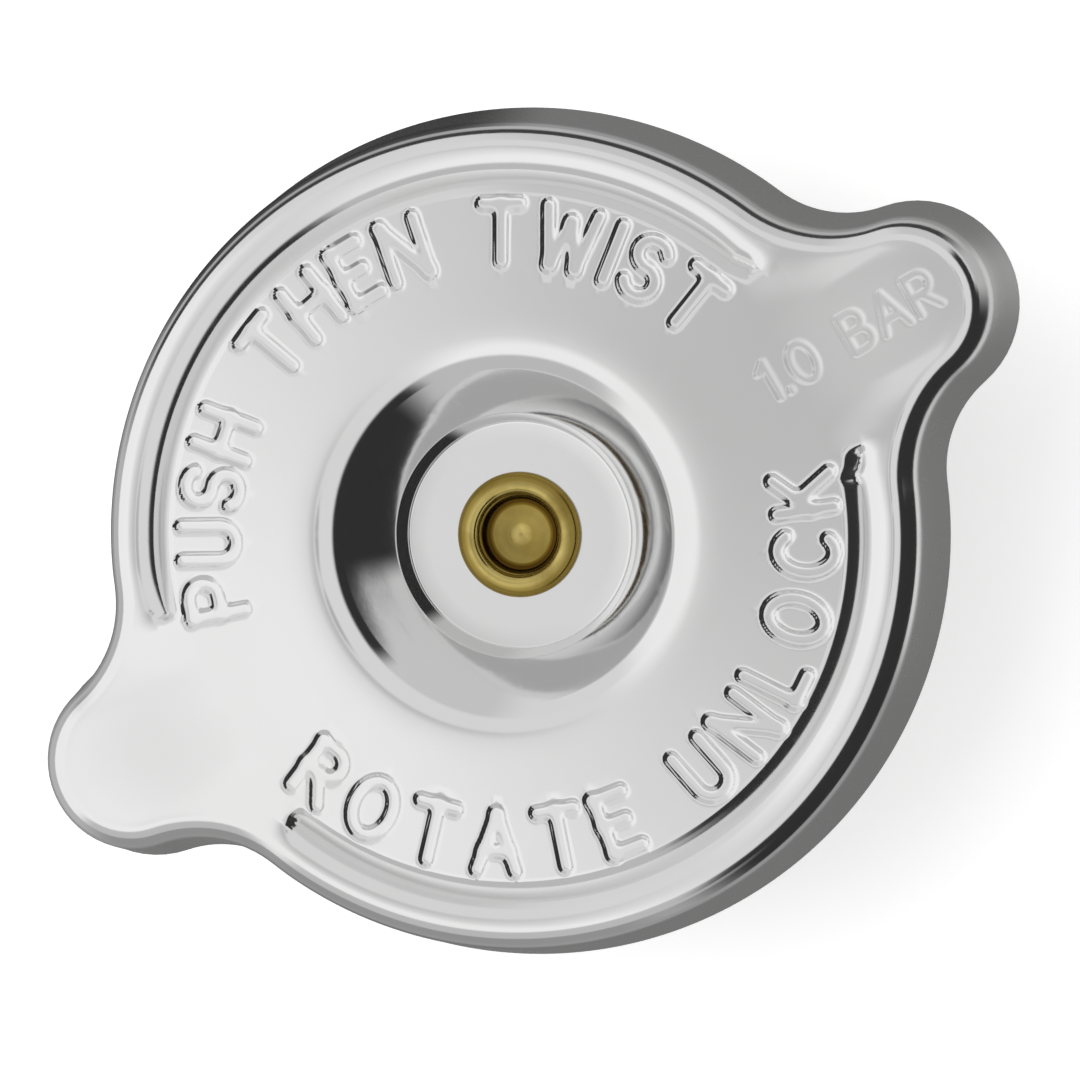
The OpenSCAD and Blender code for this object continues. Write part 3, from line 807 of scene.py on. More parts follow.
def swept(section, turns):
    """Points and faces of a closed section swept round the axis through a list of angles."""
    points = [(r * math.cos(a), r * math.sin(a), z) for a in turns for r, z in section]
    n = len(section)
    faces = [[k * n + i, k * n + (i + 1) % n, (k + 1) * n + (i + 1) % n, (k + 1) * n + i]
        for k in range(len(turns) - 1) for i in range(n)]
    last = (len(turns) - 1) * n
    return points, faces + [list(range(n))[::-1], list(range(last, last + n))]


def finger_section(form):
    """Section of a cam finger bent in under the skirt."""
    s = form.s
    inset = 0.14 * MM
    t = s.sheet_t - 2 * inset
    out, low = s.body_r - inset, SHELL_LOW.z
    bend = (out - s.finger_bend, low + s.finger_bend)
    lip = 0.12 * MM
    return ([(out - t, form.edge_z + 0.3 * MM), (out, form.edge_z + 0.3 * MM)]
        + arc(bend, s.finger_bend, 0, -90, 10)
        + [(s.finger_r + lip, low), (s.finger_r, low + lip)]
        + [(s.finger_r, low + t - lip), (s.finger_r + lip, low + t)]
        + arc(bend, s.finger_bend - t, -90, 0, 8))


def shell_rings(form, marks):
    """Rings of the shell's skin: over the top from the rivet hole to the open edge, and back underneath."""
    s = form.s
    turns = form.spokes
    step = np.append(turns, turns[0] + 2 * math.pi)
    fine = np.interp(np.arange(FINE * len(turns)) / FINE, np.arange(len(step)), step)

    def circle(r, z, angles):
        return np.stack([r * np.cos(angles), r * np.sin(angles), np.broadcast_to(z, angles.shape)], 1)

    def lowered(z):
        """Heights of a level round the outline, fitted to the ears."""
        share = (z - form.edge_z) / (form.rim_z - form.edge_z)
        return form.edge_z + share * (form.crest(turns) - form.edge_z)

    rings = [circle(r, z, turns) for r, z in form.well_section(0.0, 14)]
    inner, outer = marks.foot_r - 0.8 * MM, s.groove_r + 0.65 * MM
    rings += [circle(r, form.upper_face(np.full_like(turns, r), turns), turns)
        for r in np.linspace(form.lip_r, inner, 8)[1:-1]]
    roll_r = s.groove_r - s.roll_w
    lettered = np.linspace(inner, roll_r, 33)[:-1]
    rolled = np.linspace(roll_r, s.groove_r, 9)
    groove_wall = np.linspace(s.groove_r, outer, 6)[1:]
    for r in (*lettered, *rolled, *groove_wall):
        ring = circle(r, form.upper_face(np.full_like(fine, r), fine), fine)
        ring[:, 2] -= all_words(ring[:, :2], marks)
        rings.append(ring)
    for k in np.linspace(0.0, 1.0, 13)[1:-1]:
        r = outer + (form.rim_r - outer) * k
        rings.append(circle(r, form.upper_face(r, turns), turns))
    for inset, z in form.skirt_levels(0.0, 18):
        rings.append(np.column_stack([form.outline(inset), lowered(z)]))
    lip = 0.2 * MM
    for inset, up in ((0.0, lip), (lip, 0.0), (s.sheet_t - lip, 0.0), (s.sheet_t, lip)):
        rings.append(np.column_stack([form.outline(inset), np.full(len(turns), form.edge_z + up)]))
    for inset, z in form.skirt_levels(s.sheet_t, 6)[::-1]:
        rings.append(np.column_stack([form.outline(inset), lowered(z)]))
    for k in np.linspace(1.0, 0.0, 5)[1:]:
        r = outer + (form.rim_r - outer) * k
        rings.append(circle(r, form.upper_face(r, turns) - s.sheet_t, turns))
    for r in np.linspace(outer, form.lip_r, 6)[1:-1]:
        rings.append(circle(r, form.upper_face(np.full_like(turns, r), turns) - s.sheet_t, turns))
    return rings + [circle(r, z, turns) for r, z in form.well_section(s.sheet_t, 5)[::-1]]


def press_ear_mark(mesh, form, marks):
    """Divide the skin finely on top of the marked ear and press the mark into it."""
    bm = bmesh.new()
    bm.from_mesh(mesh)
    side = marks.ear_letter_h / 2 + 2 * marks.ear_edge_w
    near, far = form.s.groove_r + 0.6 * MM, marks.ear_middle + 2.6 * marks.ear_letter_h

    def on_top(place):
        top = form.rim_z - form.s.ear_fall - 0.4 * MM
        return near < place.x < far and abs(place.y) < side and place.z > top

    faces = [f for f in bm.faces if f.normal.z > 0.7 and on_top(f.calc_center_median())]
    edges = list({e for f in faces for e in f.edges})
    bmesh.ops.subdivide_edges(bm, edges=edges, cuts=5, use_grid_fill=True)
    points = [v for v in bm.verts if on_top(v.co)]
    flat = np.array([v.co[:2] for v in points])
    level = form.upper_face(np.hypot(*flat.T), np.arctan2(flat[:, 1], flat[:, 0])) - all_words(flat, marks)
    for v, z in zip(points, level):
        v.co.z = z
    bm.to_mesh(mesh)
    bm.free()


class CAP_OT_shell(bpy.types.Operator):
    """Press the shell with its ears, lettered field, well and cam fingers"""
    bl_idname = "radiator_cap.press_shell"
    bl_label = "Press Shell"

    def execute(self, context):
        scene = context.scene
        form = ShellForm(scene.cap_shell)
        points, faces = ring_solid(shell_rings(form, scene.cap_letters))
        points = points.tolist()
        half = scene.cap_shell.finger_angle / 2
        for side in (math.pi / 2, 3 * math.pi / 2):
            turns = np.linspace(side - half, side + half, 41)
            more, sides = swept(finger_section(form), turns)
            faces += [[v + len(points) for v in face] for face in sides]
            points += more
        shell = mesh_object("pressed_shell", points, faces)
        press_ear_mark(shell.data, form, scene.cap_letters)
        finish_piece(shell, "shell", plating_material(scene.cap_finish, scene.cap_shell),
            "shell_plating", "cap_shell", crease=50.0)
        return {"FINISHED"}


# Rivet

def rivet_section(inside, head):
    """Closed section of the rivet: rolled edge, cup with its dimple, shank and spread end."""
    head_r, shank, low = reach("rivet"), inside.shank_r, heights("rivet")[0]
    foot = heights("spring_seat")[1] - inside.seat_t - inside.guide_t
    crest, crest_h = (3.62 * MM, head + 0.2 * MM), 0.68 * MM
    roll = [(head_r, head + 0.02 * MM)]
    roll += arc(crest, (head_r - crest[0], crest_h), 0, 90, 12)
    roll += arc(crest, (0.6 * MM, crest_h), 90, 168, 9)[1:]
    roll += [(2.98 * MM, head + 0.26 * MM), (2.88 * MM, head + 0.2 * MM), (2.82 * MM, head + 0.08 * MM)]
    deep = head - 0.6 * MM
    cup = [(2.7 * MM, deep + 0.22 * MM)] + arc((2.5 * MM, deep + 0.2 * MM), 0.2 * MM, 0, -90, 4)
    cup += [(1.6 * MM, deep - 0.03 * MM), (0.95 * MM, deep - 0.07 * MM), (0.8 * MM, deep - 0.11 * MM)]
    dimple = [(0.5 * MM, deep - 0.21 * MM), (0.22 * MM, deep - 0.31 * MM), (0.0, deep - 0.34 * MM)]
    bore = shank - 0.9 * MM
    hollow = [(0.0, foot + 0.4 * MM), (bore, foot + 0.4 * MM)]
    hollow += [(bore, low + 0.1 * MM), (bore + 0.15 * MM, low)]
    end = [(4.1 * MM, low), (4.3 * MM, low + 0.1 * MM), (4.4 * MM, low + 0.3 * MM), (4.4 * MM, foot)]
    return roll + cup + dimple + hollow + end + [(shank, foot), (shank, head + 0.02 * MM)]


class CAP_OT_rivet(bpy.types.Operator):
    """Turn the rivet with its rolled edge, cup and centre dimple"""
    bl_idname = "radiator_cap.turn_rivet"
    bl_label = "Turn Rivet"

    def execute(self, context):
        scene = context.scene
        section = rivet_section(scene.cap_inside, ShellForm(scene.cap_shell).floor_z)
        rivet = turned("brass_rivet", section, 144)
        finish_piece(rivet, "carrier", rivet_material(scene.cap_finish), "rivet_brass", "rivet")
        return {"FINISHED"}


# Seals

def washer(name, node, bore):
    """Flat washer with soft edges, in the place of its node."""
    low, high = heights(node)
    out = reach(node)
    return turned(name, rounded([
        (bore, high, 0.05 * MM), (out, high, 0.15 * MM),
        (out, low, 0.1 * MM), (bore, low, 0.05 * MM)]), 96)


class CAP_OT_seals(bpy.types.Operator):
    """Mould the rim gasket, the main gasket and the washer of the vacuum valve"""
    bl_idname = "radiator_cap.mould_seals"
    bl_label = "Mould Seals"

    def execute(self, context):
        scene, inside = context.scene, context.scene.cap_inside
        low, high = heights("rim_gasket")
        out, bore = reach("rim_gasket"), inside.rim_seal_in
        rim = turned("rim_gasket_ring", rounded([
            (bore, high, 0.1 * MM), (out, high, 0.1 * MM), (out, low, 0.3 * MM), (bore, low, 0.3 * MM)]))
        finish_piece(rim, "carrier", rubber_material("rim_rubber", scene.cap_finish),
            "rim_rubber", "rim_gasket")

        low, high = heights("main_gasket")
        out, bore = reach("main_gasket"), inside.hub_r + inside.slack
        flange_low = heights("valve_hub")[0]
        flange_top, step = flange_low + inside.hub_flange_t, reach("valve_hub") + inside.slack
        main = turned("main_gasket_ring", rounded([
            (bore, high, 0.0), (out, high, 0.5 * MM), (out, low, 0.5 * MM),
            (step, low, 0.2 * MM), (step, flange_top, 0.0), (bore, flange_top, 0.0)]))
        finish_piece(main, "pressure_valve", rubber_material("main_rubber", scene.cap_finish),
            "main_rubber", "main_gasket")

        seal = washer("vacuum_seal_washer", "vacuum_seal", inside.stem_r + inside.slack)
        finish_piece(seal, "vacuum_valve", rubber_material("seal_rubber", scene.cap_finish),
            "seal_rubber", "vacuum_seal")
        return {"FINISHED"}


# Pressed sheet under the shell

class CAP_OT_carrier(bpy.types.Operator):
    """Press the diaphragm and the upper spring seat"""
    bl_idname = "radiator_cap.press_carrier"
    bl_label = "Press Diaphragm and Seat"

    def execute(self, context):
        scene, inside = context.scene, context.scene.cap_inside
        bore = inside.shank_r + inside.slack
        low, high = heights("diaphragm")
        t, out = inside.dia_t, reach("diaphragm")
        band = high - t
        band_in = inside.rim_seal_in - 0.5 * MM
        lip = heights("rim_gasket")[0] + (band - heights("rim_gasket")[0]) / 2
        bend = 1.2 * MM
        diaphragm = turned("diaphragm_disc", rounded([
            (bore, low, 0.0), (inside.dia_flat_r, low, bend), (band_in, band, bend), (out - t, band, 0.0),
            (out - t, lip, 0.0), (out, lip, 0.1 * MM), (out, high, 0.3 * MM), (band_in, high, bend),
            (inside.dia_flat_r, low + t, bend), (bore, low + t, 0.0)], 6))
        finish_piece(diaphragm, "carrier", steel_material("diaphragm_steel", scene.cap_finish, 0.24),
            "diaphragm_steel", "diaphragm")

        low, high = heights("spring_seat")
        t, out = inside.seat_t, reach("spring_seat")
        seat = turned("spring_seat_cup", rounded([
            (bore, high, 0.0), (out, high, 1.2 * MM), (out, low, 0.15 * MM), (out - t, low, 0.15 * MM),
            (out - t, high - t, 0.4 * MM), (bore, high - t, 0.0)], 6))
        finish_piece(seat, "carrier", steel_material("seat_steel", scene.cap_finish, 0.3),
            "seat_steel", "spring_seat")
        return {"FINISHED"}


# Perforated pieces

def perforation_tree():
    """Geometry Nodes: cut one hole shape round the axis a number of times."""
    tree, given, out = group_tree("Perforate", "GeometryNodeTree", [
        ("Blank", "Geometry"), ("Cutter", "Object"), ("Count", "Int"), ("First Angle", "Float"),
        ("Finish", "Material")], [("Geometry", "Geometry")])
    punch = add(tree, "GeometryNodeObjectInfo", {"Object": given["Cutter"]}).outputs["Geometry"]
    spots = add(tree, "GeometryNodeMeshLine", {
        "Count": given["Count"], "Offset": (0.0, 0.0, 0.0)}).outputs[0]
    index = add(tree, "GeometryNodeInputIndex").outputs[0]
    pitch = maths(tree, "DIVIDE", 2 * math.pi, given["Count"])
    turn = maths(tree, "ADD", maths(tree, "MULTIPLY", index, pitch), given["First Angle"])
    rotation = add(tree, "ShaderNodeCombineXYZ", {"Z": turn}).outputs[0]
    holes = add(tree, "GeometryNodeInstanceOnPoints", {
        "Points": spots, "Instance": punch, "Rotation": rotation}).outputs[0]
    holes = add(tree, "GeometryNodeRealizeInstances", {0: holes}).outputs[0]
    cut = add(tree, "GeometryNodeMeshBoolean", {"Mesh 1": given["Blank"], "Mesh 2": holes},
        operation="DIFFERENCE", solver="EXACT").outputs[0]
    real = add(tree, "GeometryNodeRealizeInstances", {0: cut}).outputs[0]
    done = add(tree, "GeometryNodeSetMaterial", {0: real, "Material": given["Finish"]}).outputs[0]
    tree.links.new(done, out.inputs[0])
    return tree


def perforated(name, blank, cutter, count, first, material):
    """The blank with its holes, as a plain mesh."""
    tree = bpy.data.node_groups.get("Perforate") or perforation_tree()
    piece = grown(name, tree, {
        "Cutter": cutter, "Count": count, "First Angle": first, "Finish": material}, blank)
    bpy.data.objects.remove(cutter)
    return tidy_normals(piece)


def prism(name, section, near, far, along):
    """Closed prism over a flat section, between two distances along X or Z."""
    n = len(section)
    points = [(d, a, b) if along == "X" else (a, b, d) for d in (near, far) for a, b in section]
    faces = [[i, (i + 1) % n, n + (i + 1) % n, n + i] for i in range(n)]
    return tidy_normals(mesh_object(name, points, faces + [list(range(n)), list(range(n, 2 * n))]))


class CAP_OT_guide(bpy.types.Operator):
    """Draw the guide tube and punch its windows"""
    bl_idname = "radiator_cap.draw_guide"
    bl_label = "Draw Guide"

    def execute(self, context):
        scene, inside = context.scene, context.scene.cap_inside
        low, high = heights("spring_guide")
        out, t, bore = reach("spring_guide"), inside.guide_t, inside.guide_bore
        top = inside.shank_r + inside.slack
        blank = turned("guide_blank", rounded([
            (top, high - t, 0.0), (top, high, 0.0), (out, high, 1.6 * MM), (out, low, 1.0 * MM),
            (bore, low, 0.1 * MM), (bore, low + t, 0.1 * MM), (out - t, low + t, 0.3 * MM),
            (out - t, high - t, 0.9 * MM)], 6), 144)
        w, h, middle = inside.window_w / 2, inside.window_h / 2, (low + high) / 2
        slot = arc((0.0, middle + h - w), w, 0, 180, 14) + arc((0.0, middle - h + w), w, 180, 360, 14)
        cutter = prism("window_punch", slot, out - 3 * t, out + t, "X")
        finish = steel_material("guide_steel", scene.cap_finish, 0.3)
        guide = perforated("spring_guide_tube", blank, cutter, 4, math.pi / 4, finish)
        finish_piece(guide, "carrier", finish, "guide_steel", "spring_guide")
        return {"FINISHED"}


def plate_section(inside):
    """Closed section of the valve plate, with the bead that centres the spring."""
    low, high = heights("valve_plate")
    out, t, bore = reach("valve_plate"), inside.plate_t, inside.hub_r + inside.slack
    top = low + t
    bead = reach("spring_seat") - inside.seat_t
    a, b, c, d = (bead + k * MM for k in (0.0, 0.3, 0.9, 1.2))
    soft = 0.22 * MM
    return rounded([
        (bore, top, 0.0), (a, top, soft), (b, high, soft), (c, high, soft), (d, top, soft),
        (out, top, 0.2 * MM), (out, low, 0.2 * MM), (d, low, soft), (c, high - t, soft),
        (b, high - t, soft), (a, low, soft), (bore, low, 0.0)])


def hub_section(inside, web_low, web_top):
    """Closed section of the hub: web, flange, tube with a bead over the plate, and flare in the guide."""
    low, high = heights("valve_hub")
    flange_r, flange_top = reach("valve_hub"), low + inside.hub_flange_t
    tube, wall = inside.hub_r, inside.hub_r - inside.hub_t
    plate_top = heights("valve_plate")[0] + inside.plate_t
    bead_top = plate_top + 0.7 * MM
    flare = heights("spring_guide")[0] + inside.guide_t + 0.05 * MM
    flare_r = reach("spring_guide") - 1.06 * MM
    return rounded([
        (0.0, web_low, 0.0), (wall, web_low, 0.0), (wall, low, 0.5 * MM), (flange_r, low, 0.25 * MM),
        (flange_r, flange_top, 0.1 * MM), (tube, flange_top, 0.0), (tube, plate_top, 0.0),
        (tube + 0.45 * MM, (plate_top + bead_top) / 2, 0.15 * MM), (tube, bead_top, 0.1 * MM),
        (tube, flare, 0.1 * MM), (flare_r, flare, 0.1 * MM), (flare_r, high, 0.2 * MM),
        (wall, high, 0.5 * MM), (wall, web_top, 0.3 * MM), (0.0, web_top, 0.0)], 5)


class CAP_OT_valve(bpy.types.Operator):
    """Press the valve plate, and turn the hub with its vents"""
    bl_idname = "radiator_cap.make_valve"
    bl_label = "Make Pressure Valve"

    def execute(self, context):
        inside, finish = context.scene.cap_inside, context.scene.cap_finish
        plate = turned("valve_plate_disc", plate_section(inside))
        finish_piece(plate, "pressure_valve", metal("plate_brass", finish.brass, finish.brass_dark,
            0.26, 300.0, 0.6, 1600.0, 0.006 * MM), "plate_brass", "valve_plate")

        web_top = heights("vacuum_seal")[1] + 0.05 * MM + inside.web_t
        web_low = web_top - inside.web_t
        hub_blank = turned("hub_blank", hub_section(inside, web_low, web_top), 144)
        brass = brass_material("hub_brass", finish)
        drill = (web_low - MM, web_top + MM, "Z")
        stem_hole = inside.stem_r + 0.3 * MM
        middle = prism("stem_drill", arc((0.0, 0.0), stem_hole, 0, 345, 23), *drill)
        drilled = perforated("hub_drilled", hub_blank, middle, 1, 0.0, brass)
        wall = inside.hub_r - inside.hub_t
        ring = (reach("vacuum_spring") - inside.vacuum_wire / 2 + wall) / 2 - 0.2 * MM
        vents = prism("vent_drill", arc((ring, 0.0), inside.vent_r, 0, 345, 23), *drill)
        hub = perforated("valve_hub_brass", drilled, vents, 5, 0.0, brass)
        finish_piece(hub, "pressure_valve", brass, "hub_brass", "valve_hub")
        return {"FINISHED"}


class CAP_OT_vacuum_valve(bpy.types.Operator):
    """Turn the vacuum valve with its stem, and its keeper washer"""
    bl_idname = "radiator_cap.turn_vacuum_valve"
    bl_label = "Turn Vacuum Valve"

    def execute(self, context):
        scene, inside = context.scene, context.scene.cap_inside
        low, high = heights("vacuum_valve")
        out, stem = reach("vacuum_valve"), inside.stem_r
        top, neck = low + inside.disc_t, high - 0.5 * MM
        valve = turned("vacuum_valve_stem", rounded([
            (0.0, low + 0.25 * MM, 0.0), (1.4 * MM, low, 0.6 * MM), (out, low, 0.3 * MM),
            (out, top, 0.1 * MM), (stem, top, 0.0), (stem, neck, 0.0), (stem + 0.6 * MM, neck, 0.08 * MM),
            (stem + 0.45 * MM, high - 0.1 * MM, 0.2 * MM), (0.0, high, 0.0)]), 96)
        finish_piece(valve, "vacuum_valve", brass_material("vacuum_brass", scene.cap_finish),
            "vacuum_brass", "vacuum_valve")

        keeper = washer("keeper_washer", "vacuum_keeper", stem + inside.slack)
        finish_piece(keeper, "vacuum_valve", brass_material("keeper_brass", scene.cap_finish),
            "keeper_brass", "vacuum_keeper")
        return {"FINISHED"}


# Springs

def spring_tree():
    """Geometry Nodes: round wire wound round the axis, with open turns between closed end turns."""
    tree, given, out = group_tree("Coil Spring", "GeometryNodeTree", [
        ("Radius", "Float"), ("Wire", "Float"), ("Foot", "Float"), ("Head", "Float"),
        ("Open Turns", "Float"), ("Steps", "Int"), ("Finish", "Material")], [("Geometry", "Geometry")])
    spots = add(tree, "GeometryNodeMeshLine", {
        "Count": given["Steps"], "Offset": (0.0, 0.0, 1.0)}).outputs[0]
    index = add(tree, "GeometryNodeInputIndex").outputs[0]
    total = maths(tree, "ADD", given["Open Turns"], 2.0)
    share_done = maths(tree, "DIVIDE", index, maths(tree, "SUBTRACT", given["Steps"], 1.0))
    wound = maths(tree, "MULTIPLY", share_done, total)
    closed = maths(tree, "ADD", given["Wire"], 0.03 * MM)
    free = maths(tree, "SUBTRACT", maths(tree, "SUBTRACT", given["Head"], given["Foot"]), given["Wire"])
    free = maths(tree, "SUBTRACT", free, maths(tree, "MULTIPLY", closed, 2.0))
    pitch = maths(tree, "DIVIDE", free, given["Open Turns"])
    first = maths(tree, "MINIMUM", wound, 1.0)
    between = maths(tree, "MAXIMUM", maths(tree, "SUBTRACT", wound, 1.0), 0.0)
    between = maths(tree, "MINIMUM", between, given["Open Turns"])
    last = maths(tree, "MAXIMUM", maths(tree, "SUBTRACT", wound, maths(tree, "SUBTRACT", total, 1.0)), 0.0)
    ends = maths(tree, "MULTIPLY", maths(tree, "ADD", first, last), closed)
    rise = maths(tree, "ADD", ends, maths(tree, "MULTIPLY", between, pitch))
    base = maths(tree, "ADD", given["Foot"], maths(tree, "MULTIPLY", given["Wire"], 0.5))
    turn = maths(tree, "MULTIPLY", wound, 2 * math.pi)
    place = add(tree, "ShaderNodeCombineXYZ", {
        "X": maths(tree, "MULTIPLY", given["Radius"], maths(tree, "COSINE", turn)),
        "Y": maths(tree, "MULTIPLY", given["Radius"], maths(tree, "SINE", turn)),
        "Z": maths(tree, "ADD", base, rise)}).outputs[0]
    wire = add(tree, "GeometryNodeSetPosition", {"Geometry": spots, "Position": place}).outputs[0]
    path = add(tree, "GeometryNodeMeshToCurve", {0: wire}).outputs[0]
    upright = add(tree, "GeometryNodeSetCurveNormal", {0: path}, mode="Z_UP").outputs[0]
    section = add(tree, "GeometryNodeCurvePrimitiveCircle", {
        "Resolution": 20, "Radius": maths(tree, "MULTIPLY", given["Wire"], 0.5)}).outputs[0]
    tube = add(tree, "GeometryNodeCurveToMesh", {0: upright, 1: section, "Fill Caps": True}).outputs[0]
    real = add(tree, "GeometryNodeRealizeInstances", {0: tube}).outputs[0]
    done = add(tree, "GeometryNodeSetMaterial", {0: real, "Material": given["Finish"]}).outputs[0]
    tree.links.new(done, out.inputs[0])
    return tree


class CAP_OT_springs(bpy.types.Operator):
    """Wind the pressure spring and the small vacuum spring"""
    bl_idname = "radiator_cap.wind_springs"
    bl_label = "Wind Springs"

    def execute(self, context):
        scene, inside = context.scene, context.scene.cap_inside
        tree = spring_tree()
        for name, node, body, joint, wire, turns, steps, slot in (
                ("pressure_coil", "pressure_spring", "carrier", "pressure_lift",
                    inside.spring_wire, inside.spring_turns, 520, "spring_steel"),
                ("vacuum_coil", "vacuum_spring", "pressure_valve", "vacuum_drop",
                    inside.vacuum_wire, inside.vacuum_turns, 220, "vacuum_wire")):
            low, high = heights(node)
            finish = steel_material(slot, scene.cap_finish, 0.2)
            coil = grown(name, tree, {
                "Radius": reach(node) - wire / 2, "Wire": wire, "Foot": low, "Head": high,
                "Open Turns": turns, "Steps": steps, "Finish": finish})
            finish_piece(tidy_normals(coil), body, finish, slot, node)
            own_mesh(coil)
        return {"FINISHED"}


# Stage

def camera_axes(stage):
    """Directions to the camera, to the right and up in the picture."""
    back = Vector((math.sin(stage.tilt) * math.cos(stage.azimuth),
        math.sin(stage.tilt) * math.sin(stage.azimuth), math.cos(stage.tilt)))
    ears = (Vector((1.0, 0.0, 0.0)) - back.x * back).normalized()
    across = back.cross(ears)
    right = math.cos(stage.roll) * ears - math.sin(stage.roll) * across
    up = math.sin(stage.roll) * ears + math.cos(stage.roll) * across
    return back, right, up


def add_camera(stage):
    back, right, up = camera_axes(stage)
    aim = Vector((0.0, 0.0, stage.target_z)) + right * stage.shift_right - up * stage.shift_down
    camera = bpy.data.objects.new("camera", bpy.data.cameras.new("camera"))
    bpy.context.scene.collection.objects.link(camera)
    turn = Matrix((right, up, back)).transposed().to_4x4()
    camera.matrix_world = Matrix.Translation(aim + back * stage.distance) @ turn
    camera.data.lens = stage.lens
    camera.data.clip_start = 0.01
    bpy.context.scene.camera = camera


def add_floor(stage):
    """Pale floor that shows white, keeps the cap's shadow and is clear from below."""
    corners = [(3.0 * x, 3.0 * y, -0.01 * MM) for x, y in ((-1, -1), (1, -1), (1, 1), (-1, 1))]
    floor = mesh_object("floor", corners, [(0, 1, 2, 3)])
    material, tree, shader = new_material("floor_paper")
    embossed(tree, shader, noise(tree, own_place(tree), 900.0, 4.0), 0.02 * MM)
    shader.inputs["Base Color"].default_value = tuple(stage.floor)
    shader.inputs["Roughness"].default_value = 0.9
    shader.inputs["Specular IOR Level"].default_value = 0.1
    path = add(tree, "ShaderNodeLightPath").outputs
    seen = maths(tree, "MAXIMUM", path["Is Camera Ray"], path["Is Transmission Ray"])
    seen = maths(tree, "MAXIMUM", seen, path["Is Glossy Ray"])
    shader.inputs["Emission Color"].default_value = (1.0, 1.0, 1.0, 1.0)
    tree.links.new(maths(tree, "MULTIPLY", seen, 0.45), shader.inputs["Emission Strength"])
    below = add(tree, "ShaderNodeNewGeometry").outputs["Backfacing"]
    clear = add(tree, "ShaderNodeBsdfTransparent").outputs[0]
    paper = add(tree, "ShaderNodeMixShader", {0: below, 1: shader.outputs[0], 2: clear})
    tree.links.new(paper.outputs[0], tree.nodes["Material Output"].inputs["Surface"])
    floor.data.materials.append(material)


def add_softbox(name, place, size, watts):
    light = bpy.data.lights.new(name, "AREA")
    light.size = size
    light.energy = watts
    lamp = bpy.data.objects.new(name, light)
    turn = Vector(place).to_track_quat("Z", "Y").to_matrix().to_4x4()
    lamp.matrix_world = Matrix.Translation(place) @ turn
    lamp.visible_glossy = False
    bpy.context.scene.collection.objects.link(lamp)


def facing(tree, direction, towards):
    values = {0: direction, 1: tuple(towards)}
    return add(tree, "ShaderNodeVectorMath", values, operation="DOT_PRODUCT").outputs["Value"]


def cone(tree, direction, towards, outer, inner, start=0.0, end=1.0):
    """Level that changes between two angles in degrees round a direction."""
    low, high = math.cos(math.radians(outer)), math.cos(math.radians(inner))
    return ramp(tree, facing(tree, direction, towards), low, high, start, end)


def flat_direction(tree, direction):
    values = {0: levelled(tree, direction)}
    return add(tree, "ShaderNodeVectorMath", values, operation="NORMALIZE").outputs[0]


def picture_direction(stage, degrees):
    """Level direction whose angle is given in the picture."""
    turn = math.radians(degrees) - stage.roll
    return math.cos(turn), math.sin(turn), 0.0


# Cards round the cap: direction in the picture, half width, levels just above and just below the horizon
CARDS = (
    (60.0, 50.0, 0.62, 0.50),
    (135.0, 30.0, 0.75, 0.40),
    (190.0, 40.0, 0.95, 0.50),
    (255.0, 30.0, 0.55, 0.32),
    (334.0, 41.0, 0.03, 0.03),
)


def card_level(tree, stage, direction, which):
    """Level of the cards in each direction, above or below the horizon."""
    flat = flat_direction(tree, direction)
    level = 0.5
    for degrees, half, *levels in CARDS:
        mask = cone(tree, flat, picture_direction(stage, degrees), half + 9, half - 9)
        level = level_between(tree, mask, level, levels[which])
    return level


def add_world(stage):
    """White surround; metal shows cards near the horizon, a dark band and a slope of light above."""
    world = bpy.data.worlds.new("studio")
    world.use_nodes = True
    tree = world.node_tree
    shader = tree.nodes["Background"]
    path = add(tree, "ShaderNodeLightPath").outputs
    direction = add(tree, "ShaderNodeTexCoord").outputs["Generated"]
    level = height_of(tree, direction)
    high = ramp(tree, level, 0.58, 0.70)
    band = cone(tree, flat_direction(tree, direction), picture_direction(stage, 350.0), 68, 56)
    band = maths(tree, "MULTIPLY", band, ramp(tree, level, 0.22, 0.26))
    low = level_between(tree, band, card_level(tree, stage, direction, 0), 0.03)
    bright = level_between(tree, high, low, 0.76)
    slope = maths(tree, "SUBTRACT", facing(tree, direction, picture_direction(stage, 213.6)), 0.2)
    left = maths(tree, "MINIMUM", maths(tree, "MAXIMUM", slope, 0.0), 0.2)
    right = maths(tree, "MAXIMUM", maths(tree, "MINIMUM", slope, 0.0), -0.3)
    back, _, _ = camera_axes(stage)
    mirrored = cone(tree, direction, (-back.x, -back.y, back.z), 20, 12)
    for side, mask in ((left, high), (right, mirrored)):
        bright = maths(tree, "ADD", bright, maths(tree, "MULTIPLY", side, mask))
    for degrees in (348.0, 39.0):
        flat_x, flat_y, _ = picture_direction(stage, degrees)
        cloth = cone(tree, direction, (0.216 * flat_x, 0.216 * flat_y, 0.976), 5.5, 3.5, 1.0, 0.62)
        bright = maths(tree, "MULTIPLY", bright, cloth)
    plain = maths(tree, "MAXIMUM", path["Is Camera Ray"], path["Is Transmission Ray"])
    others = maths(tree, "SUBTRACT", 1.0, maths(tree, "MAXIMUM", plain, path["Is Glossy Ray"]))
    strength = plain
    for mask, amount in ((path["Is Glossy Ray"], bright), (others, 0.6)):
        strength = maths(tree, "ADD", strength, maths(tree, "MULTIPLY", mask, amount))
    tree.links.new(strength, shader.inputs["Strength"])
    shader.inputs["Color"].default_value = (1.0, 1.0, 1.0, 1.0)
    bpy.context.scene.world = world


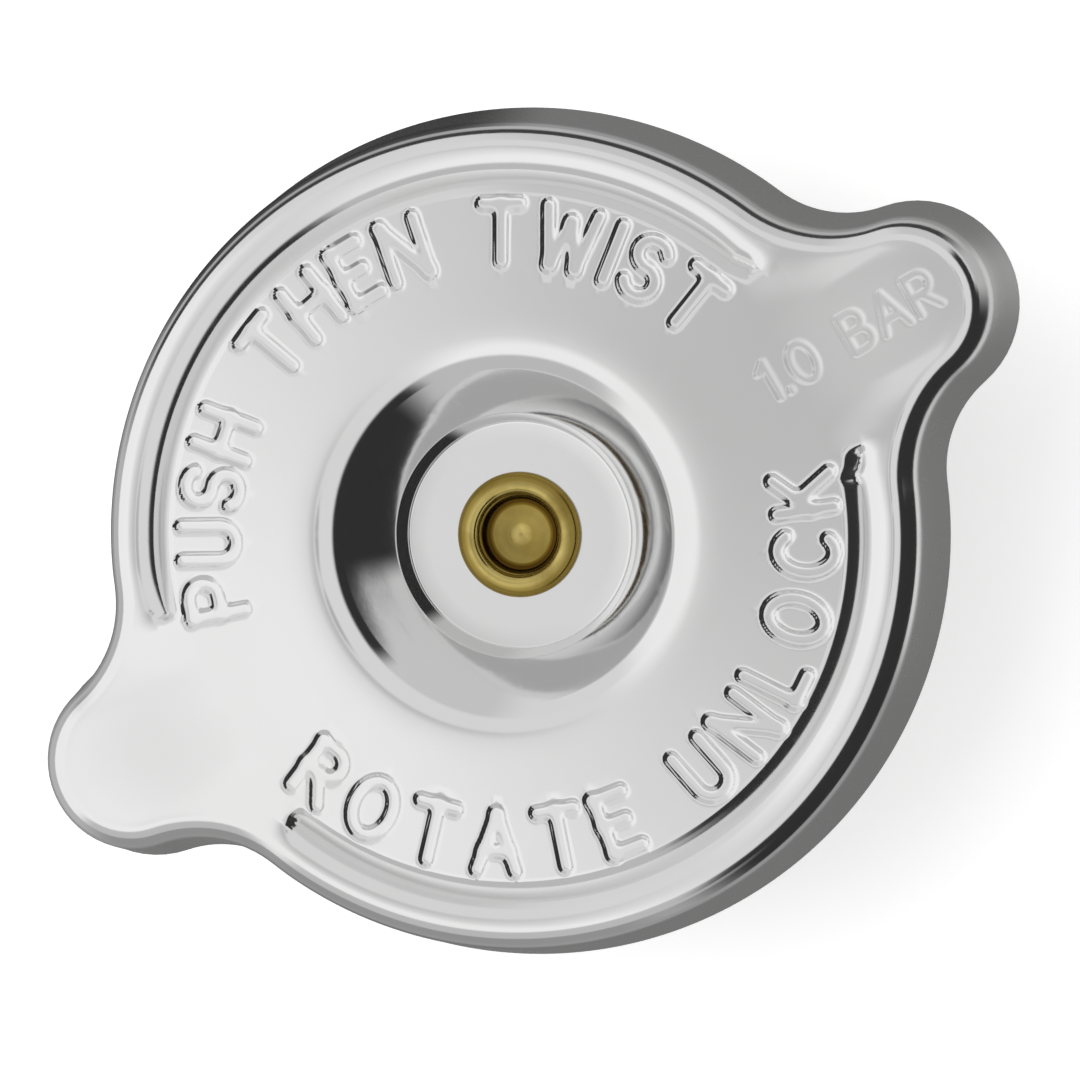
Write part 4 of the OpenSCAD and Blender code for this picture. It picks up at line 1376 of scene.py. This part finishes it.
def add_cards(stage):
    """Grey tray with a low wall round the cap that only reflections show."""
    steps = 96
    section = [(31.0 * MM, 0.3 * MM), (78.0 * MM, 0.3 * MM), (80.0 * MM, 35.0 * MM)]
    points, faces = [], []
    for k in range(steps):
        c, s = math.cos(2 * math.pi * k / steps), math.sin(2 * math.pi * k / steps)
        points += [(r * c, r * s, z) for r, z in section]
        here, ahead = 3 * k, 3 * ((k + 1) % steps)
        faces += [(here, ahead, ahead + 1, here + 1), (here + 1, ahead + 1, ahead + 2, here + 2)]
    tray = mesh_object("card_tray", points, faces)
    material, tree, shader = new_material("card_grey")
    place = own_place(tree)
    height = height_of(tree, place)
    flat = flat_direction(tree, place)
    behind = cone(tree, flat, picture_direction(stage, 128.0), 34, 20, 1.0, 0.2)
    edge = cone(tree, flat, picture_direction(stage, 8.0), 36, 18, 0.34, 0.75)
    ground = ramp(tree, axis_radius(tree, place), 52.0 * MM, 62.0 * MM, 0.19, edge)
    ground = maths(tree, "MULTIPLY", ground, behind)
    upright = ramp(tree, height, 0.5 * MM, 2.0 * MM)
    bright = level_between(tree, upright, ground, card_level(tree, stage, place, 1))
    top = cone(tree, flat, picture_direction(stage, 105.0), 70, 50)
    top = maths(tree, "MULTIPLY", top, ramp(tree, height, 14.0 * MM, 20.0 * MM))
    bright = level_between(tree, top, bright, 0.05)
    shader.inputs["Base Color"].default_value = (0.0, 0.0, 0.0, 1.0)
    shader.inputs["Specular IOR Level"].default_value = 0.0
    shader.inputs["Emission Color"].default_value = (1.0, 1.0, 1.0, 1.0)
    tree.links.new(bright, shader.inputs["Emission Strength"])
    tray.data.materials.append(material)
    tray.visible_camera = False
    tray.visible_diffuse = False
    tray.visible_transmission = False
    tray.visible_shadow = False


class CAP_OT_stage(bpy.types.Operator):
    """Set up the camera, the floor and the soft light"""
    bl_idname = "radiator_cap.set_stage"
    bl_label = "Set Stage"

    def execute(self, context):
        stage = context.scene.cap_stage
        add_camera(stage)
        add_floor(stage)
        add_cards(stage)
        add_world(stage)
        _, right, up = camera_axes(stage)
        above = Vector((0.0, 0.0, 0.7))
        add_softbox("key_softbox", above - 0.35 * right + 0.15 * up, 0.7, 3.2)
        context.scene.view_settings.view_transform = "Standard"
        return {"FINISHED"}


MAKERS = (CAP_OT_shell, CAP_OT_rivet, CAP_OT_seals, CAP_OT_carrier, CAP_OT_guide, CAP_OT_valve,
    CAP_OT_vacuum_valve, CAP_OT_springs, CAP_OT_stage)
SETTINGS = {
    "cap_shell": CapShellSettings,
    "cap_letters": CapLetterSettings,
    "cap_inside": CapInsideSettings,
    "cap_finish": CapFinishSettings,
    "cap_stage": CapStageSettings,
}


class CAP_PT_panel(bpy.types.Panel):
    """Settings and makers of the cap"""
    bl_idname = "CAP_PT_panel"
    bl_label = "Radiator Cap"
    bl_space_type = "VIEW_3D"
    bl_region_type = "UI"
    bl_category = "Cap"

    def draw(self, context):
        for maker in MAKERS:
            self.layout.operator(maker.bl_idname)
        for name, group in SETTINGS.items():
            box = self.layout.box()
            settings = getattr(context.scene, name)
            for key in group.__annotations__:
                box.prop(settings, key)


def register():
    for cls in (*SETTINGS.values(), *MAKERS, CAP_PT_panel):
        bpy.utils.register_class(cls)
    for name, group in SETTINGS.items():
        setattr(bpy.types.Scene, name, bpy.props.PointerProperty(type=group))


def unregister():
    for name in SETTINGS:
        delattr(bpy.types.Scene, name)
    for cls in (CAP_PT_panel, *MAKERS[::-1], *SETTINGS.values()):
        bpy.utils.unregister_class(cls)


def main():
    register()
    bpy.ops.radiator_cap.press_shell()
    bpy.ops.radiator_cap.turn_rivet()
    bpy.ops.radiator_cap.mould_seals()
    bpy.ops.radiator_cap.press_carrier()
    bpy.ops.radiator_cap.draw_guide()
    bpy.ops.radiator_cap.make_valve()
    bpy.ops.radiator_cap.turn_vacuum_valve()
    bpy.ops.radiator_cap.wind_springs()
    bpy.ops.radiator_cap.set_stage()
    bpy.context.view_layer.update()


if __name__ == "__main__":
    main()
